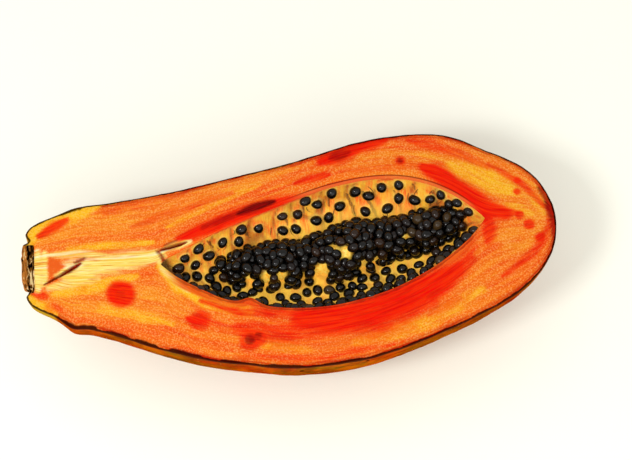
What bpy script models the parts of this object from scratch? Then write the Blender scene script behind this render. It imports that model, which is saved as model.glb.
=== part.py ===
"""Half a papaya, cut lengthwise, lying on its round back with the knife cut facing up.

Metres, +Z up. X runs along the fruit, from the stem scar at -X to the blossom end at +X. +Y is the
far side and -Y the near side. The origin is on the table, under the middle of the fruit.
"""

import math
import random

import bmesh
import bpy
from mathutils import Euler, Matrix, Vector

# The fruit's length, its widest place, and the height of the knife cut above the table
STEM_X = -0.145
BLOSSOM_X = 0.145
BELLY_X = 0.035
BELLY_HALF_WIDTH = 0.063
BLOSSOM_BLUNTNESS = 2.1
CUT_Z = 0.0596

# How deep the half is as a share of its half-width: the heavy stem half hangs lower, so the fruit
# lies level on its back. The deepest stretch reaches below the table and is pressed flat there.
DEPTH_SHARE = 0.955
DEPTH_SLOPE = -1.3  # for each metre along the fruit from the belly

# Half of the outline on the stem side: how far along, and the half-width there
STEM_OUTLINE = (
    (STEM_X, 0.0),
    (-0.1444, 0.0122),  # the edge of the corky stem scar
    (-0.1412, 0.0146),  # the groove round the scar
    (-0.1427, 0.0182),  # the crest of the shoulder
    (-0.1386, 0.0238),
    (-0.1240, 0.0306),  # the collar under the shoulder
    (-0.1150, 0.0346),
    (-0.0980, 0.0383),  # the neck
    (-0.0720, 0.0450),
    (-0.0400, 0.0523),
    (-0.0050, 0.0587),
)
BLOSSOM_ARC_STEPS = 12

# The fruit's middle line swings towards the near side and back: where it starts, and the two swings
STEM_OFFSET = 0.0035
NEAR_SWAY, NEAR_SWAY_START, NEAR_SWAY_LENGTH = -0.0107, STEM_X, 0.105
FAR_SWAY, FAR_SWAY_START, FAR_SWAY_LENGTH = 0.0165, -0.015, 0.120

# Five shallow ridges run along the skin. A knob and a flatter stretch break the outline:
# how far along, its reach, the side that it is on, and how far it stands out
RIDGES = 5
RIDGE_SHARE = 0.012
SKIN_BUMPS = (
    (-0.1195, 0.006, -1, 0.0026),
    (0.1130, 0.018, 1, -0.0032),
)

# The seed cavity: its two tips, its widest place, half-width and depth, and how its sides curve
CAVITY_STEM_X = -0.0705
CAVITY_BLOSSOM_X = 0.1065
CAVITY_WIDEST_X = 0.026
CAVITY_HALF_WIDTH = 0.0347
CAVITY_DEPTH = 0.033
CAVITY_STEM_CURVE, CAVITY_STEM_BLUNTNESS = 1.65, 0.8
CAVITY_BLOSSOM_CURVE, CAVITY_BLOSSOM_BLUNTNESS = 2.45, 0.9
CAVITY_MIDDLE_RISE = 0.003  # the widest level of the cutter stays above the knife cut

# Its middle line: the offset, the swing to the far side, and the stem tip, which turns aside
CAVITY_OFFSET = -0.0037
CAVITY_SWAY, CAVITY_SWAY_START, CAVITY_SWAY_LENGTH = 0.0155, -0.030, 0.125
TIP_TURN, TIP_TURN_REACH = 0.0028, 0.008

# Soft folds in the cavity wall, and waves in its near rim: how far along, reach, and rise
FOLD_SPACING = 0.021
FOLD_SHARE = 0.028
RIM_WAVES = (
    (-0.0385, 0.0105, -0.0018),
    (-0.0235, 0.0050, 0.0034),
)

# Two narrow splits in the cut face: middle, length, width, depth and heading in degrees
SPLITS = (
    (Vector((-0.1233, -0.0027)), 0.0212, 0.0014, 0.006, 27.0),
    (Vector((-0.0626, 0.0089)), 0.0142, 0.0018, 0.007, 13.0),
)
SPLIT_RISE = 0.0004

# The heap of seeds along the bottom of the cavity
HEAP_START_X = -0.043
HEAP_END_X = 0.098
HEAP_HALF_WIDTH = 0.0128
HEAP_HALF_HEIGHT = 0.0145
HEAP_FLOOR_GAP = 0.0032
HEAP_OFFSET = 0.0062  # to the far side of the cavity's middle line
HEAP_WAVE, HEAP_WAVE_TURN, HEAP_WAVE_START = 0.13, 9.0, 1.0
HEAP_CLEARANCE = 0.0004  # between the heap and the flesh that it lies in

# One seed, and how the seeds are spread
SEED_LENGTH = 0.0062
SEED_WIDTH = 0.0051
SEED_VARIATION = 0.10
SEED_SIDES, SEED_RINGS = 5, 4
HEAP_SEEDS, HEAP_SEED_SPACING = 100, 0.0053
HEAP_SEED_CROWDING = 0.2  # the last ones drawn lie this much closer
WALL_SEEDS, WALL_SEED_SPACING = 112, 0.0064
UPPER_WALL_SPACING = 0.0088  # high on the far wall the seeds stand apart
SEED_SINK = 0.30  # the share of a seed's width that is sunk in what it lies on
SEED_TILT = 30.0
SEED_TRIES = 9000
PLACING_SEED = 11

# How far the wall seeds keep from the knife cut, the cavity's tips, and the heap with its seeds
RIM_MARGIN = 0.0036
TIP_MARGIN = 0.008
HEAP_MARGIN = 0.0035
HEAP_SEED_MARGIN = 0.0070

# Sides round and rings along each rounded shape
SKIN_SIDES, SKIN_RINGS = 40, 46
CAVITY_SIDES, CAVITY_RINGS = 28, 32
HEAP_SIDES, HEAP_RINGS = 16, 18
SHARP_EDGE = 40.0  # in degrees: the knife cut stays sharp, and the rest is shaded smooth


def smoothstep(u):
    """0 below 0, 1 above 1, and an S between."""
    u = min(1.0, max(0.0, u))
    return u * u * (3 - 2 * u)


def bump(x, middle, reach):
    """A bell of height 1 round the middle."""
    return math.exp(-(((x - middle) / reach) ** 2))


def outline_points():
    """The half outline from the stem scar to the blossom tip: the stations, then a rounded arc."""
    points = [Vector(station) for station in STEM_OUTLINE]
    power = 2 / BLOSSOM_BLUNTNESS
    for step in range(BLOSSOM_ARC_STEPS + 1):
        angle = math.pi / 2 * step / BLOSSOM_ARC_STEPS
        along = max(0.0, math.sin(angle)) ** power
        across = max(0.0, math.cos(angle)) ** power
        if step == BLOSSOM_ARC_STEPS:
            across = 0.0
        points.append(Vector((BELLY_X + (BLOSSOM_X - BELLY_X) * along, BELLY_HALF_WIDTH * across)))
    return points


def smooth_curve(points, steps=24):
    """A smooth curve through the points, which meets the fruit's middle line squarely at both ends."""
    before = Vector((points[1].x, -points[1].y))
    after = Vector((points[-2].x, -points[-2].y))
    padded = [before, *points, after]
    curve = [points[0].copy()]
    for a, b, c, d in zip(padded, padded[1:], padded[2:], padded[3:]):
        reach = (c - b).length / 3
        leave = b + (c - a).normalized() * reach
        arrive = c - (d - b).normalized() * reach
        for step in range(1, steps + 1):
            t = step / steps
            u = 1 - t
            curve.append(b * u**3 + leave * 3 * u * u * t + arrive * 3 * u * t * t + c * t**3)
    return curve


class Outline:
    """The fruit's half outline, read by the share of its length."""

    def __init__(self, points):
        self.curve = smooth_curve(points)
        self.lengths = [0.0]
        for a, b in zip(self.curve, self.curve[1:]):
            self.lengths.append(self.lengths[-1] + (b - a).length)

    def at(self, share):
        """(how far along the fruit, half-width) at this share of the outline."""
        wanted = share * self.lengths[-1]
        for index, length in enumerate(self.lengths[1:], start=1):
            if length >= wanted:
                span = length - self.lengths[index - 1]
                part = (wanted - self.lengths[index - 1]) / span if span else 0.0
                return self.curve[index - 1].lerp(self.curve[index], part)
        return self.curve[-1]


def sway(x):
    """How far the fruit's middle line lies to the far side."""
    near = NEAR_SWAY * smoothstep((x - NEAR_SWAY_START) / NEAR_SWAY_LENGTH)
    far = FAR_SWAY * smoothstep((x - FAR_SWAY_START) / FAR_SWAY_LENGTH)
    return STEM_OFFSET + near + far


def skin_point(x, half_width, angle):
    """A point of the skin. The angle turns round the middle line: 0 is far, -90 degrees is the back."""
    across, down = math.cos(angle), math.sin(angle)
    radius = half_width * (1 - RIDGE_SHARE * math.sin(RIDGES * angle))
    for middle, reach, side, height in SKIN_BUMPS:
        radius += height * bump(x, middle, reach) * max(0.0, side * across) ** 2
    depth_share = DEPTH_SHARE + DEPTH_SLOPE * (x - BELLY_X)
    return Vector((x, sway(x) + radius * across, CUT_Z + radius * depth_share * down))


def cavity_taper(x):
    """The cavity's size at x as a share of its largest."""
    if x < CAVITY_WIDEST_X:
        reach = (CAVITY_WIDEST_X - x) / (CAVITY_WIDEST_X - CAVITY_STEM_X)
        return max(0.0, 1 - reach**CAVITY_STEM_CURVE) ** CAVITY_STEM_BLUNTNESS
    reach = (x - CAVITY_WIDEST_X) / (CAVITY_BLOSSOM_X - CAVITY_WIDEST_X)
    return max(0.0, 1 - reach**CAVITY_BLOSSOM_CURVE) ** CAVITY_BLOSSOM_BLUNTNESS


def cavity_middle(x):
    """How far the middle line of the cavity lies to the far side."""
    swing = CAVITY_SWAY * smoothstep((x - CAVITY_SWAY_START) / CAVITY_SWAY_LENGTH)
    return CAVITY_OFFSET + swing + TIP_TURN * bump(x, CAVITY_STEM_X, TIP_TURN_REACH)


def cavity_point(x, angle, inset=0.0):
    """A point of the cavity wall, or of the same wall drawn in by the inset."""
    taper = cavity_taper(x)
    across, down = math.cos(angle), math.sin(angle)
    fold = 1 + FOLD_SHARE * math.sin(math.tau * x / FOLD_SPACING + 2 * across) * down * down
    half_width = max(0.0, CAVITY_HALF_WIDTH * taper * fold - inset)
    depth = max(0.0, (CAVITY_DEPTH + CAVITY_MIDDLE_RISE) * math.sqrt(taper) * fold - inset)
    wave = sum(rise * bump(x, middle, reach) for middle, reach, rise in RIM_WAVES)
    y = cavity_middle(x) + half_width * across + wave * max(0.0, -across) ** 4
    return Vector((x, y, CUT_Z + CAVITY_MIDDLE_RISE + depth * down))


def cavity_normal(x, angle):
    """The direction that points out of the cavity wall, into the cavity."""
    step = 1e-4
    along = cavity_point(x + step, angle) - cavity_point(x - step, angle)
    around = cavity_point(x, angle + step) - cavity_point(x, angle - step)
    normal = around.cross(along).normalized()
    inward = Vector((0.0, cavity_middle(x), CUT_Z)) - cavity_point(x, angle)
    inward.x = 0.0
    return normal if normal.dot(inward) > 0 else -normal


def heap_taper(x):
    """The heap's size at x as a share of its largest, with a wavy edge."""
    reach = (2 * x - HEAP_START_X - HEAP_END_X) / (HEAP_END_X - HEAP_START_X)
    wave = 1 + HEAP_WAVE * math.sin(HEAP_WAVE_TURN * reach + HEAP_WAVE_START)
    return math.sqrt(max(0.0, 1 - reach * reach)) * wave


def heap_point(x, angle):
    """A point of the heap's core. The angle turns as it does for the skin, so 90 degrees is its crest."""
    taper = heap_taper(x)
    floor = cavity_point(x, -math.pi / 2).z
    y = cavity_middle(x) + HEAP_OFFSET + HEAP_HALF_WIDTH * taper * math.cos(angle)
    z = floor + HEAP_FLOOR_GAP + HEAP_HALF_HEIGHT * taper * math.sin(angle)
    return Vector((x, y, z))


def new_collection(name):
    collection = bpy.data.collections.new(name)
    bpy.context.scene.collection.children.link(collection)
    return collection


def new_material(name, colour, roughness):
    material = bpy.data.materials.new(name)
    material.use_nodes = True
    shader = material.node_tree.nodes["Principled BSDF"]
    shader.inputs["Base Color"].default_value = (*colour, 1.0)
    shader.inputs["Roughness"].default_value = roughness
    shader.inputs["Metallic"].default_value = 0.0
    return material


def object_from(bm, name, collection, material=None):
    bmesh.ops.recalc_face_normals(bm, faces=bm.faces)
    mesh = bpy.data.meshes.new(name)
    bm.to_mesh(mesh)
    bm.free()
    if material:
        mesh.materials.append(material)
    obj = bpy.data.objects.new(name, mesh)
    collection.objects.link(obj)
    return obj


def shaped_sphere(sides, rings, place):
    """A UV sphere whose points are moved by place(share from pole to pole, angle round the poles)."""
    bm = bmesh.new()
    bmesh.ops.create_uvsphere(bm, u_segments=sides, v_segments=rings, radius=1.0)
    for vertex in bm.verts:
        share = math.acos(max(-1.0, min(1.0, vertex.co.z))) / math.pi
        angle = math.atan2(vertex.co.y, vertex.co.x)
        vertex.co = place(share, angle)
    return bm


def cut_flat(bm, height, keep_below):
    """Slices the mesh level and closes the cut with one face."""
    normal = Vector((0, 0, 1 if keep_below else -1))
    geometry = [*bm.verts, *bm.edges, *bm.faces]
    cut = bmesh.ops.bisect_plane(
        bm,
        geom=geometry,
        dist=1e-7,
        plane_co=Vector((0, 0, height)),
        plane_no=normal,
        clear_outer=True,
    )
    edges = [item for item in cut["geom_cut"] if isinstance(item, bmesh.types.BMEdge)]
    bmesh.ops.contextual_create(bm, geom=edges)


def as_cutter(obj):
    """Marks a helper that only cuts, so that it shows as a wire and stays out of a render."""
    obj.hide_render = True
    obj.display_type = "WIRE"
    return obj


def apply_boolean(obj, operation, operand):
    """Cuts or joins with an object or a whole collection, then removes what was used."""
    modifier = obj.modifiers.new(operation.lower(), "BOOLEAN")
    modifier.operation = operation
    modifier.solver = "EXACT"
    if isinstance(operand, bpy.types.Collection):
        modifier.operand_type = "COLLECTION"
        modifier.collection = operand
    else:
        modifier.object = operand
    bpy.context.view_layer.objects.active = obj
    bpy.ops.object.modifier_apply(modifier=modifier.name)
    used = list(operand.objects) if isinstance(operand, bpy.types.Collection) else [operand]
    for item in used:
        bpy.data.objects.remove(item)
    if isinstance(operand, bpy.types.Collection):
        bpy.data.collections.remove(operand)


def cavity_cutter(name, collection, inset=0.0):
    """The cavity as a solid that can be cut out of the flesh, or that the heap is fitted into."""
    length = CAVITY_BLOSSOM_X - CAVITY_STEM_X

    def place(share, angle):
        x = CAVITY_STEM_X + length * (1 - math.cos(math.pi * share)) / 2
        return cavity_point(x, angle, inset)

    return as_cutter(object_from(shaped_sphere(CAVITY_SIDES, CAVITY_RINGS, place), name, collection))


def split_cutter(name, collection, split):
    """A narrow lens that opens a split in the cut face."""
    middle, length, width, depth, heading = split
    bm = bmesh.new()
    bmesh.ops.create_uvsphere(bm, u_segments=8, v_segments=6, radius=0.5)
    bmesh.ops.scale(bm, vec=Vector((length, width, depth)), verts=bm.verts)
    bmesh.ops.rotate(bm, matrix=Matrix.Rotation(math.radians(heading), 3, "Z"), verts=bm.verts)
    bmesh.ops.translate(bm, vec=Vector((*middle, CUT_Z + SPLIT_RISE)), verts=bm.verts)
    return as_cutter(object_from(bm, name, collection))


def make_flesh(collection, cutters, material):
    """The half fruit: a whole one shaped from a sphere, cut flat, pressed flat below, and hollowed."""
    outline = Outline(outline_points())

    def place(share, angle):
        x, half_width = outline.at(share)
        return skin_point(x, half_width, angle)

    bm = shaped_sphere(SKIN_SIDES, SKIN_RINGS, place)
    cut_flat(bm, CUT_Z, keep_below=True)
    cut_flat(bm, 0.0, keep_below=False)
    flesh = object_from(bm, "flesh", collection, material)
    apply_boolean(flesh, "DIFFERENCE", cavity_cutter("cavity_cutter", cutters))
    for number, split in enumerate(SPLITS):
        apply_boolean(flesh, "DIFFERENCE", split_cutter(f"split_cutter_{number}", cutters, split))
    return flesh


def make_seed(place, normal, size, draw, name, collection):
    """One seed with few sides, lying on a surface and sunk into it a little."""
    bm = bmesh.new()
    bmesh.ops.create_uvsphere(bm, u_segments=SEED_SIDES, v_segments=SEED_RINGS, radius=0.5)
    bmesh.ops.scale(bm, vec=Vector((SEED_WIDTH, SEED_WIDTH, SEED_LENGTH)) * size, verts=bm.verts)
    seed = object_from(bm, name, collection)
    tilt = math.radians(90 + draw.uniform(-SEED_TILT, SEED_TILT))
    lying = Euler((tilt, 0, draw.uniform(0, math.tau)))
    seed.rotation_mode = "QUATERNION"
    seed.rotation_quaternion = normal.to_track_quat("Z", "Y") @ lying.to_quaternion()
    seed.location = seed_middle(place, normal)
    return seed


def seed_middle(place, normal):
    """The middle of a seed that is sunk a little into the surface at this place."""
    return place + normal * SEED_WIDTH * (0.5 - SEED_SINK)


def free_of(place, others, spacing):
    return all((place - other).length >= spacing for other in others)


def heap_seed_places(draw):
    """Places and directions on the upper side of the heap, drawn at random but never too close."""
    found = []
    for _ in range(SEED_TRIES):
        x = draw.uniform(HEAP_START_X, HEAP_END_X)
        angle = draw.uniform(0.0, math.pi)
        place = heap_point(x, angle)
        normal = Vector((0, math.cos(angle), math.sin(angle)))
        spacing = HEAP_SEED_SPACING * (1 - HEAP_SEED_CROWDING * len(found) / HEAP_SEEDS)
        if free_of(place, [other for other, _ in found], spacing):
            found.append((place, normal))
        if len(found) == HEAP_SEEDS:
            break
    return found


def wall_spacing(angle):
    """The spacing of the seeds on the wall: wide high on the far side, close further down."""
    height = 1 + math.sin(angle)
    far_side = max(0.0, math.cos(angle))
    share = smoothstep(2 * height * far_side)
    return WALL_SEED_SPACING + (UPPER_WALL_SPACING - WALL_SEED_SPACING) * share


def wall_seed_places(draw, heap_seeds):
    """Places on the bare wall of the cavity, clear of the heap and of each other."""
    found = []
    for _ in range(SEED_TRIES):
        x = draw.uniform(CAVITY_STEM_X + TIP_MARGIN, CAVITY_BLOSSOM_X - TIP_MARGIN)
        angle = -draw.uniform(0.0, math.pi)
        place, normal = cavity_point(x, angle), cavity_normal(x, angle)
        middle = seed_middle(place, normal)
        if place.z > CUT_Z - RIM_MARGIN or heap_gap(middle) < HEAP_MARGIN:
            continue
        alone = free_of(place, [other for other, _ in found], wall_spacing(angle))
        if alone and free_of(middle, heap_seeds, HEAP_SEED_MARGIN):
            found.append((place, normal))
        if len(found) == WALL_SEEDS:
            break
    return found


def heap_gap(place):
    """About how far a point is from the surface of the heap's core."""
    x = min(HEAP_END_X, max(HEAP_START_X, place.x))
    taper = max(0.05, heap_taper(x))
    floor = cavity_point(x, -math.pi / 2).z
    across = (place.y - cavity_middle(x) - HEAP_OFFSET) / (HEAP_HALF_WIDTH * taper)
    up = (place.z - floor - HEAP_FLOOR_GAP) / (HEAP_HALF_HEIGHT * taper)
    return (math.hypot(across, up) - 1) * min(HEAP_HALF_WIDTH, HEAP_HALF_HEIGHT) * taper


def scatter_seeds(places, draw, name):
    """A collection with a seed at each place."""
    collection = new_collection(name)
    for number, (place, normal) in enumerate(places):
        size = 1 + draw.uniform(-SEED_VARIATION, SEED_VARIATION)
        make_seed(place, normal, size, draw, f"{name}_{number}", collection)
    return collection


def make_heap(collection, cutters, material, places, draw):
    """The heap: a core with the seeds that show joined to it, fitted into the cavity with a small gap."""
    length = HEAP_END_X - HEAP_START_X

    def place(share, angle):
        return heap_point(HEAP_START_X + length * (1 - math.cos(math.pi * share)) / 2, angle)

    core = shaped_sphere(HEAP_SIDES, HEAP_RINGS, place)
    heap = object_from(core, "seed_heap", collection, material)
    apply_boolean(heap, "UNION", scatter_seeds(places, draw, "heap_seed"))
    fitted = cavity_cutter("heap_room", cutters, HEAP_CLEARANCE)
    apply_boolean(heap, "INTERSECT", fitted)
    return heap


def keep_largest_body(obj):
    """Drops the loose scraps that a cut can leave, such as the tip of a seed."""
    bm = bmesh.new()
    bm.from_mesh(obj.data)
    left = set(bm.verts)
    bodies = []
    while left:
        body, edge = set(), [left.pop()]
        while edge:
            vertex = edge.pop()
            body.add(vertex)
            near = {link.other_vert(vertex) for link in vertex.link_edges} & left
            left -= near
            edge.extend(near)
        bodies.append(body)
    bodies.sort(key=len)
    for body in bodies[:-1]:
        bmesh.ops.delete(bm, geom=list(body), context="VERTS")
    bm.to_mesh(obj.data)
    bm.free()


def centre_on_origin(objects, outline_object):
    """Moves everything sideways so that the middle of the fruit's box is over the origin."""
    corners = [Vector(corner) for corner in outline_object.bound_box]
    shift = Vector((
        -(min(c.x for c in corners) + max(c.x for c in corners)) / 2,
        -(min(c.y for c in corners) + max(c.y for c in corners)) / 2,
        0.0,
    ))
    for obj in objects:
        obj.data.transform(Matrix.Translation(shift))


def main():
    for obj in list(bpy.data.objects):
        bpy.data.objects.remove(obj)
    papaya = new_collection("papaya_half")
    cutters = new_collection("cutters")
    flesh_colour = new_material("flesh", (0.87, 0.24, 0.035), 0.42)
    seed_colour = new_material("seed", (0.012, 0.011, 0.010), 0.25)
    draw = random.Random(PLACING_SEED)

    flesh = make_flesh(papaya, cutters, flesh_colour)
    heap_places = heap_seed_places(draw)
    heap_seeds = [seed_middle(place, normal) for place, normal in heap_places]
    wall_places = wall_seed_places(draw, heap_seeds)
    apply_boolean(flesh, "UNION", scatter_seeds(wall_places, draw, "wall_seed"))
    heap = make_heap(papaya, cutters, seed_colour, heap_places, draw)
    for obj in (flesh, heap):
        keep_largest_body(obj)
        obj.data.shade_smooth()
        obj.data.set_sharp_from_angle(angle=math.radians(SHARP_EDGE))
    centre_on_origin((flesh, heap), flesh)


if __name__ == "__main__":
    main()
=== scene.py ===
# %% [markdown]
# # Half a ripe papaya
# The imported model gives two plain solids: the flesh, with its cavity, and a heap of seeds. This
# lesson keeps their shapes and builds the fruit over them: skin, cut flesh, cavity wall and seeds.
# All lengths are in metres, +X runs to the blossom end, +Y to the far side and +Z up.

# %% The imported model
import math
import random

import bmesh
import bpy
import numpy as np
from mathutils import Euler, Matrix, Vector, geometry, kdtree, noise


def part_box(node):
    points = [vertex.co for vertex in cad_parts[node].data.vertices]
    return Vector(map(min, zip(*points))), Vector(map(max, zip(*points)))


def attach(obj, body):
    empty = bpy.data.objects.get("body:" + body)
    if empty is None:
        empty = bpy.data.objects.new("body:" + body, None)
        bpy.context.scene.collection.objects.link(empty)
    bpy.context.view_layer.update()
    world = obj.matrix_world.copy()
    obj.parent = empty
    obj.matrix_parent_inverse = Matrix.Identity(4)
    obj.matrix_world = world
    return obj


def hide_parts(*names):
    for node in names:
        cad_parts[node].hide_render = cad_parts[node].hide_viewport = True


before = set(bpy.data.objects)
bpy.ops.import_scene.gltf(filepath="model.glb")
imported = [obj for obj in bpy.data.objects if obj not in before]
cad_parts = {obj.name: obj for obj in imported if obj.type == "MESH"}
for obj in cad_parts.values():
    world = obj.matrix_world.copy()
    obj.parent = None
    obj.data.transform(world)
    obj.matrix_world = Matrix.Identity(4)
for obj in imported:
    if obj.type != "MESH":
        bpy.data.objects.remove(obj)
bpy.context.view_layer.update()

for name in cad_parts:
    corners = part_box(name)
    print(name, [round(1000 * side, 1) for side in corners[1] - corners[0]], "mm")

# %% [markdown]
# ## The outline of the fruit
# A papaya is long, narrow at the stem and widest past its middle. Half of its outline is a row of
# stations on the stem side and a rounded arc on the blossom side. A curve through named stations
# is easier to correct against a picture than a sculpted mesh, so the same stations are used here as
# in the solids.

# %% Outline of the fruit
STEM_X, BLOSSOM_X, BELLY_X = -0.145, 0.145, 0.035
BELLY_HALF_WIDTH, BLOSSOM_BLUNTNESS = 0.063, 2.1
CUT_Z = 0.0596
STEM_OUTLINE = (
    (STEM_X, 0.0), (-0.1444, 0.0122), (-0.1412, 0.0146), (-0.1427, 0.0182), (-0.1386, 0.0238),
    (-0.1240, 0.0306), (-0.1150, 0.0346), (-0.0980, 0.0383), (-0.0720, 0.0450), (-0.0400, 0.0523),
    (-0.0050, 0.0587),
)
BLOSSOM_ARC_STEPS = 12


def smoothstep(u):
    """0 below 0, 1 above 1, and an S between."""
    u = min(1.0, max(0.0, u))
    return u * u * (3 - 2 * u)


def bump(x, middle, reach):
    """A bell of height 1 round the middle."""
    return math.exp(-(((x - middle) / reach) ** 2))


def outline_curve(steps=24):
    """A smooth curve through the stations and the blossom arc."""
    points = [Vector(station) for station in STEM_OUTLINE]
    power = 2 / BLOSSOM_BLUNTNESS
    for step in range(BLOSSOM_ARC_STEPS + 1):
        turn = math.pi / 2 * step / BLOSSOM_ARC_STEPS
        along = max(0.0, math.sin(turn)) ** power
        across = 0.0 if step == BLOSSOM_ARC_STEPS else max(0.0, math.cos(turn)) ** power
        points.append(Vector((BELLY_X + (BLOSSOM_X - BELLY_X) * along, BELLY_HALF_WIDTH * across)))
    before = Vector((points[1].x, -points[1].y))
    after = Vector((points[-2].x, -points[-2].y))
    padded = [before, *points, after]
    curve = [points[0].copy()]
    for a, b, c, d in zip(padded, padded[1:], padded[2:], padded[3:]):
        reach = (c - b).length / 3
        leave = b + (c - a).normalized() * reach
        arrive = c - (d - b).normalized() * reach
        for step in range(1, steps + 1):
            t = step / steps
            u = 1 - t
            curve.append(b * u**3 + leave * 3 * u * u * t + arrive * 3 * u * t * t + c * t**3)
    return curve


OUTLINE = np.array([tuple(point) for point in outline_curve()])
OUTLINE_LENGTHS = np.concatenate([[0.0], np.cumsum(np.linalg.norm(np.diff(OUTLINE, axis=0), axis=1))])


def outline_at(share):
    """How far along the fruit, and the half-width, at this share of the outline."""
    wanted = share * OUTLINE_LENGTHS[-1]
    return tuple(np.interp(wanted, OUTLINE_LENGTHS, OUTLINE[:, side]) for side in (0, 1))


print(f"half outline {1000 * OUTLINE_LENGTHS[-1]:.0f} mm, widest {2000 * OUTLINE[:, 1].max():.0f} mm")

# %% [markdown]
# ## The skin's form
# The fruit's middle line swings a little to each side, five shallow ridges run along it, and it is a
# little less deep than wide. Each point of the skin comes from how far along it is and its turn
# round the middle line: 0 is the far edge of the knife cut, -90 degrees the back, -180 the near edge.

# %% Form of the skin
DEPTH_SHARE, DEPTH_SLOPE = 0.955, -1.3
STEM_OFFSET = 0.0035
NEAR_SWAY, NEAR_SWAY_START, NEAR_SWAY_LENGTH = -0.0107, STEM_X, 0.105
FAR_SWAY, FAR_SWAY_START, FAR_SWAY_LENGTH = 0.0165, -0.015, 0.120
RIDGES, RIDGE_SHARE = 5, 0.012
SKIN_BUMPS = ((-0.1195, 0.006, -1, 0.0026), (0.1130, 0.018, 1, -0.0032))


def sway(x):
    """How far the fruit's middle line lies to the far side."""
    near = NEAR_SWAY * smoothstep((x - NEAR_SWAY_START) / NEAR_SWAY_LENGTH)
    return STEM_OFFSET + near + FAR_SWAY * smoothstep((x - FAR_SWAY_START) / FAR_SWAY_LENGTH)


def skin_point(x, half_width, turn):
    across, down = math.cos(turn), math.sin(turn)
    radius = half_width * (1 - RIDGE_SHARE * math.sin(RIDGES * turn))
    for middle, reach, side, height in SKIN_BUMPS:
        radius += height * bump(x, middle, reach) * max(0.0, side * across) ** 2
    depth_share = DEPTH_SHARE + DEPTH_SLOPE * (x - BELLY_X)
    return Vector((x, sway(x) + radius * across, CUT_Z + radius * depth_share * down))


edge = [skin_point(*outline_at(share / 46), side) for share in range(47) for side in (0.0, -math.pi)]
SHIFT = Vector((0.0, -(min(p.y for p in edge) + max(p.y for p in edge)) / 2, 0.0))
print(f"the solids were moved {1000 * SHIFT.y:.2f} mm sideways to be centred")

# %% [markdown]
# ## The cavity and the heap
# The seed cavity is a leaf-shaped hollow, pointed at both ends, that leans to the far side. Its wall
# has soft folds, and its near rim two waves. The heap of seeds lies along its floor. Both come from
# short formulas of how far along and which turn, so that a seed or a thread can be set on them.

# %% Form of the cavity and of the heap
CAVITY_STEM_X, CAVITY_BLOSSOM_X, CAVITY_WIDEST_X = -0.0705, 0.1065, 0.026
CAVITY_HALF_WIDTH, CAVITY_DEPTH, CAVITY_MIDDLE_RISE = 0.0347, 0.033, 0.003
CAVITY_STEM_CURVE, CAVITY_STEM_BLUNTNESS = 1.65, 0.8
CAVITY_BLOSSOM_CURVE, CAVITY_BLOSSOM_BLUNTNESS = 2.45, 0.9
CAVITY_OFFSET, CAVITY_SWAY, CAVITY_SWAY_START, CAVITY_SWAY_LENGTH = -0.0037, 0.0155, -0.030, 0.125
TIP_TURN, TIP_TURN_REACH = 0.0028, 0.008
FOLD_SPACING, FOLD_SHARE = 0.021, 0.028
RIM_WAVES = ((-0.0385, 0.0105, -0.0018), (-0.0235, 0.0050, 0.0034))
HEAP_START_X, HEAP_END_X = -0.043, 0.098
HEAP_HALF_WIDTH, HEAP_HALF_HEIGHT, HEAP_FLOOR_GAP, HEAP_OFFSET = 0.0128, 0.0145, 0.0032, 0.0062
HEAP_WAVE, HEAP_WAVE_TURN, HEAP_WAVE_START = 0.13, 9.0, 1.0


def cavity_taper(x):
    if x < CAVITY_WIDEST_X:
        reach = (CAVITY_WIDEST_X - x) / (CAVITY_WIDEST_X - CAVITY_STEM_X)
        return max(0.0, 1 - reach**CAVITY_STEM_CURVE) ** CAVITY_STEM_BLUNTNESS
    reach = (x - CAVITY_WIDEST_X) / (CAVITY_BLOSSOM_X - CAVITY_WIDEST_X)
    return max(0.0, 1 - reach**CAVITY_BLOSSOM_CURVE) ** CAVITY_BLOSSOM_BLUNTNESS


def cavity_middle(x):
    swing = CAVITY_SWAY * smoothstep((x - CAVITY_SWAY_START) / CAVITY_SWAY_LENGTH)
    return CAVITY_OFFSET + swing + TIP_TURN * bump(x, CAVITY_STEM_X, TIP_TURN_REACH)


def cavity_point(x, turn):
    taper = cavity_taper(x)
    across, down = math.cos(turn), math.sin(turn)
    fold = 1 + FOLD_SHARE * math.sin(math.tau * x / FOLD_SPACING + 2 * across) * down * down
    half_width = CAVITY_HALF_WIDTH * taper * fold
    depth = (CAVITY_DEPTH + CAVITY_MIDDLE_RISE) * math.sqrt(taper) * fold
    wave = sum(rise * bump(x, middle, reach) for middle, reach, rise in RIM_WAVES)
    y = cavity_middle(x) + half_width * across + wave * max(0.0, -across) ** 4
    return Vector((x, y, CUT_Z + CAVITY_MIDDLE_RISE + depth * down))


def cavity_normal(x, turn):
    """The direction that points out of the wall, into the cavity."""
    step = 1e-4
    along = cavity_point(x + step, turn) - cavity_point(x - step, turn)
    around = cavity_point(x, turn + step) - cavity_point(x, turn - step)
    normal = around.cross(along).normalized()
    inward = Vector((0.0, cavity_middle(x), CUT_Z)) - cavity_point(x, turn)
    inward.x = 0.0
    return normal if normal.dot(inward) > 0 else -normal


def heap_taper(x):
    reach = (2 * x - HEAP_START_X - HEAP_END_X) / (HEAP_END_X - HEAP_START_X)
    wave = 1 + HEAP_WAVE * math.sin(HEAP_WAVE_TURN * reach + HEAP_WAVE_START)
    return math.sqrt(max(0.0, 1 - reach * reach)) * wave


def heap_point(x, turn, sunk=0.0):
    """A point of the heap, or of the same heap drawn in a little."""
    taper = heap_taper(x)
    floor = cavity_point(x, -math.pi / 2).z
    y = cavity_middle(x) + HEAP_OFFSET + max(0.0, HEAP_HALF_WIDTH * taper - sunk) * math.cos(turn)
    z = floor + HEAP_FLOOR_GAP + max(0.0, HEAP_HALF_HEIGHT * taper - sunk) * math.sin(turn)
    return Vector((x, y, z))


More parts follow.
